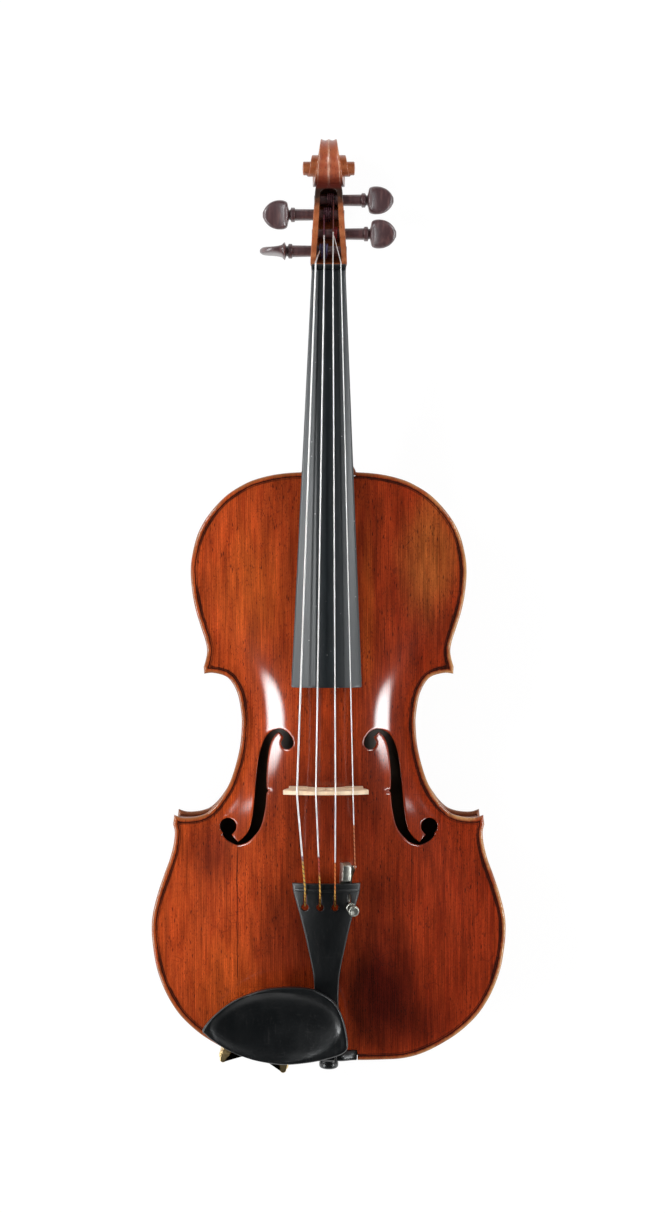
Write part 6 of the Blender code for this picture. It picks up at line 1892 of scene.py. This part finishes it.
@dataclass(frozen=True)
class MapleVarnish:
    """Golden-brown varnish over flamed maple."""

    base: Colour = paint(166, 88, 48)
    flame: Colour = paint(196, 122, 78)
    dark: Colour = paint(40, 20, 14)
    handled: Colour = paint(30, 27, 25)
    sheen: Sheen = Sheen(0.45, 0.8, 0.22, 1.55, specular=0.2)
    body_red: Colour = paint(120, 50, 22)
    # the scroll's flutes and ridge: varnish gathered and worn there, with painted shade and a painted
    # highlight
    flute_red: Colour = paint(158, 66, 46)
    ridge: Colour = paint(226, 178, 158)
    # painted shade under the scroll's band, where it curves down to the pegbox
    chin_shade: Colour = paint(88, 26, 18)
    line: Colour = paint(20, 10, 7)
    worn: Colour = paint(150, 102, 66)
    # the back's inside face: dark brown as painted shade inside the body
    inside: Colour = paint(80, 60, 42)
    # stretches along the instrument over which a mask fades in or out
    body_end: tuple = (400.0, 420.0)
    box_start: tuple = (549.0, 549.6)
    box_end: tuple = (606.0, 607.0)
    black_start: tuple = (594.0, 607.0)
    black_end: tuple = (609.0, 613.0)
    band_start: tuple = (608.5, 611.0)
    chin_start: tuple = (605.0, 608.0)
    chin_end: tuple = (616.0, 625.0)

    def make(self) -> bpy.types.Material:
        """Builds the material, darker with handling towards the top of the pegbox, with painted shade in its
        hollow.
        """
        material, tree, inputs = finish("Maple varnish", self.sheen)
        at = tree.place()
        across, along, up = tree.axes(at)
        flame = tree.use(Shared.FLAME.tree(), Place=at)
        specks = tree.use(Shared.SPECKS.tree(), Place=at)
        edge = tree.use(Shared.EDGE.tree(), Place=at, Edge=tree.mark("edge"))
        colour = tree.mix(tree.math("MULTIPLY", flame["Flame"], 0.75), self.base, self.flame)
        body = tree.span(along, *self.body_end, 1.0, 0.0)
        colour = tree.mix(tree.math("MULTIPLY", body, 0.65), colour, self.body_red)
        shade = tree.span(flame["Pores"], 0.3, 0.7, 0.86, 1.06)
        mottle = tree.span(tree.noise(at, (0.05, 0.05, 0.05), 3.0), 0.3, 0.7, 0.82, 1.14)
        colour = tree.mix(1.0, colour, BellyVarnish.grey(tree, tree.math("MULTIPLY", shade, mottle)),
            "MULTIPLY")
        # painted shade: the pegbox's hollow darkens with depth below the tops of its cheeks
        floor = tree.math("MULTIPLY_ADD", along, -0.41, 249.0)
        deep = tree.span(tree.math("SUBTRACT", up, floor), 10.0, 18.0, 1.0, 0.0)
        hollow = tree.math("MULTIPLY", deep, tree.span(tree.math("ABSOLUTE", across), 8.6, 9.2, 1.0, 0.0))
        in_box = tree.math("MULTIPLY", tree.span(along, *self.box_start),
            tree.span(along, *self.box_end, 1.0, 0.0))
        ragged = tree.math("MULTIPLY_ADD", tree.noise(at, (0.35, 0.35, 0.35), 4.0, 0.6), 12.0, along)
        black = tree.math("MULTIPLY", tree.span(ragged, *self.black_start),
            tree.span(along, *self.black_end, 1.0, 0.0))
        black = tree.math("MULTIPLY", black, tree.span(tree.math("SUBTRACT", up, floor), 16.0, 20.0))
        colour = tree.mix(tree.math("MULTIPLY", black, 0.94), colour, self.handled)
        half = tree.math("MULTIPLY_ADD", along, -0.075, 54.2)
        side = tree.math("DIVIDE", tree.math("ABSOLUTE", across), half)
        on_band = tree.math("MULTIPLY", tree.span(along, *self.band_start),
            tree.span(side, 0.97, 1.0, 1.0, 0.0))
        # darker red in the band's flutes: varnish gathered there, and painted shade
        flute = tree.math("MULTIPLY", tree.span(side, 0.06, 0.2), tree.span(side, 0.8, 0.93, 1.0, 0.0))
        colour = tree.mix(tree.math("MULTIPLY", tree.math("MULTIPLY", flute, on_band), 0.55), colour,
            self.flute_red)
        # pale along the band's ridge: varnish worn there, and a painted highlight made uneven by noise
        ridge = tree.math("MULTIPLY", tree.span(flute, 0.0, 0.35, 1.0, 0.0), on_band)
        worn = tree.span(tree.noise(at, (0.8, 0.2, 0.2), 3.0), 0.35, 0.6, 0.1, 0.7)
        colour = tree.mix(tree.math("MULTIPLY", ridge, worn), colour, self.ridge)
        # painted shade where the scroll's band curves under towards the pegbox
        chin_shade = tree.math("MULTIPLY", tree.span(ragged, *self.chin_end, 1.0, 0.0),
            tree.span(along, *self.chin_start))
        colour = tree.mix(tree.math("MULTIPLY", chin_shade, 0.75), colour, self.chin_shade)
        # the hollow's painted shade, in the same dark as the real pits and edge dirt below
        colour = tree.mix(tree.math("MULTIPLY", hollow, in_box), colour, self.dark)
        colour = tree.mix(tree.math("MULTIPLY", specks["Pits"], 0.6), colour, self.dark)
        colour = tree.mix(tree.math("MULTIPLY", edge["Dirt"], 0.6), colour, self.dark)
        colour = tree.mix(tree.math("MULTIPLY", edge["Lines"], 0.7), colour, self.line)
        colour = tree.mix(tree.math("MULTIPLY", edge["Worn"], 0.5), colour, self.worn)
        # painted shade: the back's inside face, seen through the sound holes, is darker than bare maple
        colour = tree.mix(tree.span(tree.mark("inner"), 0.5, 0.9), colour, self.inside)
        tree.put(inputs["Base Color"], colour)
        tree.put(inputs["Normal"], tree.bump(flame["Pores"], 0.02, 0.8))
        return material


@dataclass(frozen=True)
class PlainWood:
    """Wood without varnish: spruce inside the body, or the bridge's maple."""

    name: str
    light: Colour
    dark: Colour
    grain: Shared
    sheen: Sheen = Sheen(0.6)

    def make(self) -> bpy.types.Material:
        """Builds the material."""
        material, tree, inputs = finish(self.name, self.sheen)
        at = tree.place()
        lines, fine = tree.use(self.grain.tree(), Place=at).values()
        colour = tree.mix(tree.math("MULTIPLY", lines, 0.6), self.light, self.dark)
        flecks = tree.cells(at, (0.5, 2.2, 1.6)).outputs["Distance"]
        colour = tree.mix(tree.span(flecks, 0.1, 0.3, 0.35, 0.0), colour, self.dark)
        shade = tree.span(tree.noise(at, (0.2, 0.1, 0.2), 3.0), 0.3, 0.7, 0.88, 1.08)
        tree.put(inputs["Base Color"], tree.mix(1.0, colour, BellyVarnish.grey(tree, shade), "MULTIPLY"))
        tree.put(inputs["Roughness"], tree.span(fine, 0.3, 0.7, self.sheen.roughness - 0.08,
            self.sheen.roughness + 0.1))
        tree.put(inputs["Normal"], tree.bump(fine, 0.03, 0.8))
        return material


@dataclass(frozen=True)
class DarkWood:
    """Ebony or rosewood, oiled and rubbed smooth."""

    name: str
    base: Colour
    vein: Colour
    sheen: Sheen
    dust: float = 0.0
    smear: float = 1.0

    def make(self) -> bpy.types.Material:
        """Builds the material: short pores along the grain, faint veins, scuffs and specks of dust."""
        material, tree, inputs = finish(self.name, self.sheen)
        at = tree.place()
        scuffs = tree.use(Shared.SCUFFS.tree(), Place=at)
        veins = tree.span(tree.noise(at, (0.5, 0.02, 0.5), 3.0, 0.6), 0.45, 0.75)
        pores = tree.span(tree.noise(at, (5.0, 0.35, 5.0), 1.0), 0.62, 0.72)
        colour = tree.mix(veins, self.base, self.vein)
        colour = tree.mix(tree.math("MULTIPLY", scuffs["Scratch"], 0.25), colour, paint(70, 66, 64))
        if self.dust:
            cells = tree.cells(at, (0.16, 0.16, 0.16)).outputs["Distance"]
            colour = tree.mix(tree.span(cells, 0.03, 0.07, self.dust, 0.0), colour, paint(190, 190, 188))
        tree.put(inputs["Base Color"], colour)
        smear = tree.span(scuffs["Smear"], 0.3, 0.7, -0.05, 0.07)
        scratch = tree.math("MULTIPLY_ADD", scuffs["Scratch"], 0.12, self.sheen.roughness)
        tree.put(inputs["Roughness"], tree.math("MULTIPLY_ADD", smear, self.smear, scratch))
        tree.put(inputs["Normal"], tree.bump(tree.math("MULTIPLY", pores, -1.0), 0.02, 0.7))
        return material


@dataclass(frozen=True)
class Metal:
    """Plated metal, rubbed and a little tarnished."""

    name: str
    bright: Colour
    dull: Colour
    sheen: Sheen

    def make(self) -> bpy.types.Material:
        """Builds the material."""
        material, tree, inputs = finish(self.name, self.sheen)
        at = tree.place()
        scuffs = tree.use(Shared.SCUFFS.tree(), Place=at)
        tarnish = tree.span(tree.noise(at, (0.35, 0.35, 0.35), 4.0, 0.6), 0.4, 0.7)
        tree.put(inputs["Base Color"], tree.mix(tarnish, self.bright, self.dull))
        rough = tree.math("MULTIPLY_ADD", tarnish, 0.16, self.sheen.roughness)
        tree.put(inputs["Roughness"], tree.math("MULTIPLY_ADD", scuffs["Scratch"], 0.1, rough))
        tree.put(inputs["Normal"], tree.bump(scuffs["Scratch"], -0.004, 0.6))
        return material


@dataclass(frozen=True)
class SilkEnds:
    """Colours of a string's silk: on its peg, where it starts towards the tailpiece, and at its end."""

    peg: Colour
    near: Colour
    far: Colour
    start: float
    change: float
    above: float


class Silk(Enum):
    """The silk of each string."""

    C = SilkEnds(paint(84, 80, 126), paint(118, 98, 130), paint(206, 158, 62), 146.0, 142.5, 559.5)
    G = SilkEnds(paint(86, 34, 52), paint(176, 62, 40), paint(208, 156, 66), 146.0, 132.0, 570.0)
    D = SilkEnds(paint(84, 30, 40), paint(214, 112, 44), paint(210, 160, 70), 142.0, 121.5, 572.5)
    A = SilkEnds(paint(168, 30, 34), paint(196, 112, 66), paint(196, 112, 66), 167.5, 130.0, 570.5)

    def thread(self) -> bpy.types.Material:
        """The silk on the peg: fine threads wound round the string."""
        material, tree, inputs = finish(f"Silk {self.name}", Sheen(0.62))
        turn = tree.math("MULTIPLY_ADD", tree.mark("along"), 2 * np.pi / 0.34,
            tree.math("MULTIPLY", tree.mark("around"), 2 * np.pi))
        wave = tree.math("MULTIPLY_ADD", tree.math("SINE", turn), 0.5, 0.5)
        at = tree.place()
        # darker between the threads: painted shade in the grooves that the bump below makes
        colour = tree.mix(wave, tuple(0.35 * c for c in self.value.peg), self.value.peg)
        frayed = tree.span(tree.noise(at, (0.8, 0.8, 0.8), 3.0), 0.55, 0.75, 0.0, 0.5)
        tree.put(inputs["Base Color"], tree.mix(frayed, colour, paint(150, 130, 130)))
        tree.put(inputs["Normal"], tree.bump(wave, 0.05))
        return material

    def string(self) -> bpy.types.Material:
        """The string: bright wound steel, with silk above the nut and before the tailpiece."""
        material, tree, inputs = finish(f"String {self.name}", Sheen(0.3, metallic=1.0))
        at = tree.place()
        _, along, _ = tree.axes(at)
        ends = self.value
        coil = tree.math("MULTIPLY_ADD", tree.mark("along"), 2 * np.pi / 0.42,
            tree.math("MULTIPLY", tree.mark("around"), 2 * np.pi))
        wave = tree.math("MULTIPLY_ADD", tree.math("SINE", coil), 0.5, 0.5)
        silk = tree.math("MAXIMUM", tree.span(along, ends.start - 1.2, ends.start, 1.0, 0.0),
            tree.span(along, ends.above, ends.above + 1.0))
        thread = tree.mix(tree.span(along, ends.change - 4.0, ends.change + 4.0), ends.far, ends.near)
        thread = tree.mix(tree.span(along, 300.0, 301.0), thread, ends.peg)
        ply = tree.math("MULTIPLY_ADD", tree.mark("along"), 2 * np.pi / 3.2,
            tree.math("MULTIPLY", tree.mark("around"), 2 * np.pi))
        gap = tree.span(tree.math("SINE", ply), 0.1, 0.8)
        thread = tree.mix(tree.math("MULTIPLY", gap, 0.75), thread, tuple(0.22 * c for c in ends.near))
        grime = tree.span(tree.noise(at, (0.5, 0.06, 0.5), 3.0), 0.45, 0.75)
        metal = tree.mix(tree.math("MULTIPLY", grime, 0.5), (0.97, 0.95, 0.93), (0.62, 0.58, 0.55))
        tree.put(inputs["Base Color"], tree.mix(silk, metal, thread))
        tree.put(inputs["Metallic"], tree.math("SUBTRACT", 1.0, silk))
        tree.put(inputs["Roughness"], tree.math("MULTIPLY_ADD", silk, 0.3, 0.38))
        tree.put(inputs["Normal"], tree.bump(wave, 0.02, 0.6))
        return material


@dataclass(frozen=True)
class Cork:
    """Cork: pale grains parted by darker lines."""

    light: Colour = paint(186, 146, 104)
    dark: Colour = paint(96, 62, 38)

    def make(self) -> bpy.types.Material:
        """Builds the material."""
        material, tree, inputs = finish("Cork", Sheen(0.85))
        at = tree.place()
        grains = tree.cells(at, (0.9, 0.9, 0.9))
        edges = tree.cells(at, (0.9, 0.9, 0.9), "DISTANCE_TO_EDGE")
        dark = tree.span(edges.outputs["Distance"], 0.02, 0.12, 0.8, 0.0)
        tint = tree.mix(tree.math("MULTIPLY", grains.outputs["Distance"], 0.6), self.light, self.dark)
        tree.put(inputs["Base Color"], tree.mix(dark, tint, self.dark))
        tree.put(inputs["Normal"], tree.bump(edges.outputs["Distance"], 0.15))
        return material


@dataclass(frozen=True)
class TailCord:
    """A dark braided cord."""

    colour: Colour = paint(26, 25, 27)

    def make(self) -> bpy.types.Material:
        """Builds the material: two sets of strands that cross as they wind."""
        material, tree, inputs = finish("Tail cord", Sheen(0.5))
        along, around = tree.mark("along"), tree.mark("around")
        waves = []
        for way in (1, -1):
            run = tree.math("MULTIPLY_ADD", along, 2 * np.pi / 1.1,
                tree.math("MULTIPLY", around, way * 8 * np.pi))
            waves.append(tree.math("MULTIPLY_ADD", tree.math("SINE", run), 0.5, 0.5))
        height = tree.math("MAXIMUM", *waves)
        # darker where the strands dip: painted shade between them
        tree.put(inputs["Base Color"], tree.mix(height, tuple(0.4 * c for c in self.colour), self.colour))
        tree.put(inputs["Normal"], tree.bump(height, 0.12))
        return material


def make_finishes() -> Finishes:
    """Makes every finish once.

    Returns:
        All of them.
    """
    ebony = DarkWood("Ebony", paint(7, 10, 12), paint(14, 15, 16), Sheen(0.36, 0.5, 0.28), 0.0)
    # the fingerboard is painted bluer and paler than the other ebony: a painted blue-grey sheen
    board = DarkWood("Fingerboard ebony", paint(12, 20, 24), paint(22, 30, 34), Sheen(0.38, 1.0, 0.36),
        0.7, 0.2)
    rosewood = DarkWood("Rosewood", paint(72, 40, 43), paint(108, 70, 68), Sheen(0.4, 1.0, 0.36, 1.9))
    return Finishes(
        belly=BellyVarnish().make(),
        hole_wall=PlainWood("Sound hole wall", paint(46, 24, 16), paint(22, 11, 8), Shared.GRAIN).make(),
        maple=MapleVarnish().make(),
        spruce=PlainWood("Bare spruce", paint(214, 180, 130), paint(170, 126, 80), Shared.GRAIN).make(),
        ebony=ebony.make(),
        board=board.make(),
        rosewood=rosewood.make(),
        bare_maple=PlainWood("Bridge maple", paint(255, 228, 194), paint(232, 186, 142), Shared.FLAME,
                             Sheen(0.5)).make(),
        string={silk.name.lower(): silk.string() for silk in Silk},
        silk={silk.name.lower(): silk.thread() for silk in Silk},
        nickel=Metal("Nickel", (0.62, 0.62, 0.56), (0.40, 0.40, 0.34), Sheen(0.3, metallic=1.0)).make(),
        gold=Metal("Gilt brass", (0.90, 0.68, 0.34), (0.62, 0.44, 0.20), Sheen(0.3, metallic=1.0)).make(),
        cork=Cork().make(),
        cord=TailCord().make(),
    )


# Set and view

@dataclass(frozen=True)
class Lamp:
    """A soft lamp, seen from the viola at an angle from straight up."""

    name: str
    angle: float
    across: float
    near: float
    far: float
    radiance: float
    distance: float = 1.4

    def place(self) -> bpy.types.Object:
        """Puts the lamp up. Its power is radiance x pi x area.

        Returns:
            The lamp.
        """
        low, high = (self.distance * np.tan(np.radians(a)) for a in (self.near, self.far))
        data = bpy.data.lights.new(self.name, "AREA")
        data.shape = "RECTANGLE"
        data.size = 2 * self.distance * np.tan(np.radians(self.across / 2))
        data.size_y = high - low
        data.energy = self.radiance * np.pi * data.size * data.size_y
        data.color = (0.96, 0.985, 1.0)
        data.use_nodes = True
        tree = Tree(data.node_tree)
        across, along, _ = tree.axes(tree.node("ShaderNodeNewGeometry").outputs["Parametric"])
        fade = [tree.math("MULTIPLY", tree.span(at, 0.0, soft), tree.span(at, 1.0 - soft, 1.0, 1.0, 0.0))
                for at, soft in ((across, 0.4), (along, 0.2))]
        emission = data.node_tree.nodes["Emission"]
        tree.put(emission.inputs["Strength"], tree.math("MULTIPLY", *fade))
        lamp = bpy.data.objects.new(self.name, data)
        turn = np.radians(self.angle)
        lamp.location = (self.distance * np.sin(turn), (low + high) / 2, self.distance * np.cos(turn))
        lamp.rotation_euler = (0, turn, 0)
        bpy.context.scene.collection.objects.link(lamp)
        return lamp


@dataclass(frozen=True)
class Studio:
    """Pale floor, white surroundings, four soft lamps and the photo's view."""

    camera_place: tuple[float, float, float] = (0.00262, -0.0034, 1.458)
    focal: float = 60.247
    lamps: tuple = (
        Lamp("Left_lamp", -56.5, 13.0, -38.0, 5.0, 19.0), Lamp("Right_lamp", 57.0, 10.5, -34.0, 2.0, 20.0),
        Lamp("Left_board_lamp", -46.0, 15.0, 10.0, 34.0, 23.0),
        Lamp("Right_board_lamp", 47.0, 12.0, 10.0, 34.0, 19.0),
    )
    fill: float = 0.4
    overhead: float = 0.02

    def floor(self) -> bpy.types.Object:
        """A plain pale floor that shows white to the eye and still takes a faint shadow."""
        size = 3.0
        mesh = bpy.data.meshes.new("Floor")
        mesh.from_pydata([(-size, -size, 0), (size, -size, 0), (size, size, 0), (-size, size, 0)], [],
            [(0, 1, 2, 3)])
        material = bpy.data.materials.new("Floor")
        material.use_nodes = True
        nodes = material.node_tree.nodes
        nodes.clear()
        tree = Tree(material.node_tree)
        diffuse = tree.node("ShaderNodeBsdfDiffuse")
        tree.put(diffuse.inputs["Color"], (0.8, 0.8, 0.8))
        glow = tree.node("ShaderNodeEmission")
        tree.put(glow.inputs["Strength"], 1.06)
        path = tree.node("ShaderNodeLightPath").outputs
        seen = tree.math("MAXIMUM", path["Is Camera Ray"],
            tree.math("MAXIMUM", path["Is Glossy Ray"], path["Is Transmission Ray"]))
        mix = tree.node("ShaderNodeMixShader")
        tree.put(mix.inputs[0], tree.math("MULTIPLY", seen, 0.88))
        tree.put(mix.inputs[1], diffuse.outputs[0])
        tree.put(mix.inputs[2], glow.outputs[0])
        tree.put(tree.node("ShaderNodeOutputMaterial").inputs[0], mix.outputs[0])
        mesh.materials.append(material)
        floor = bpy.data.objects.new("Floor", mesh)
        floor.location = (0, 0, -0.0006)
        bpy.context.scene.collection.objects.link(floor)
        return floor

    def world(self) -> None:
        """White for the eye, dim overhead for reflections, and a soft fill for the rest."""
        scene = bpy.context.scene
        scene.world = bpy.data.worlds.new("Studio")
        scene.world.use_nodes = True
        scene.world.node_tree.nodes.clear()
        tree = Tree(scene.world.node_tree)
        path = tree.node("ShaderNodeLightPath").outputs
        _, _, up = tree.axes(tree.node("ShaderNodeTexCoord").outputs["Generated"])
        glossy = tree.span(up, 0.0, 0.5, 0.9, self.overhead)
        eye = tree.math("MAXIMUM", path["Is Camera Ray"], path["Is Transmission Ray"])
        strength = tree.math("ADD", tree.math("MULTIPLY", path["Is Glossy Ray"], glossy),
            tree.math("MULTIPLY", tree.math("SUBTRACT", 1.0, path["Is Glossy Ray"]), self.fill))
        strength = tree.math("MAXIMUM", strength, eye)
        back = tree.node("ShaderNodeBackground")
        tree.put(back.inputs["Strength"], strength)
        tree.put(tree.node("ShaderNodeOutputWorld").inputs[0], back.outputs[0])

    def camera(self) -> bpy.types.Object:
        """The photo's view, straight down."""
        data = bpy.data.cameras.new("Camera")
        data.sensor_fit = "AUTO"
        data.sensor_width = 36.0
        data.lens = self.focal
        data.clip_end = 20.0
        camera = bpy.data.objects.new("Camera", data)
        camera.location = self.camera_place
        bpy.context.scene.collection.objects.link(camera)
        bpy.context.scene.camera = camera
        return camera

    def build(self) -> None:
        """Sets it all up."""
        view = bpy.context.scene.view_settings
        view.view_transform = "Standard"
        view.look = "None"
        self.world()
        self.floor()
        self.camera()
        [lamp.place() for lamp in self.lamps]
        log.info("studio: floor, world, camera and %d lamps", len(self.lamps))


def main() -> None:
    """Builds the viola's looks and its surroundings."""
    logging.basicConfig(level=logging.INFO, format="%(name)s %(message)s")
    look = make_finishes()
    for piece in (Body(), Neck(), Board(), Pegs(), Strings(), Bridge(), Tailpiece(), FineTuner(), Chinrest()):
        piece.build(look)
    Studio().build()


if __name__ == "__main__":
    main()
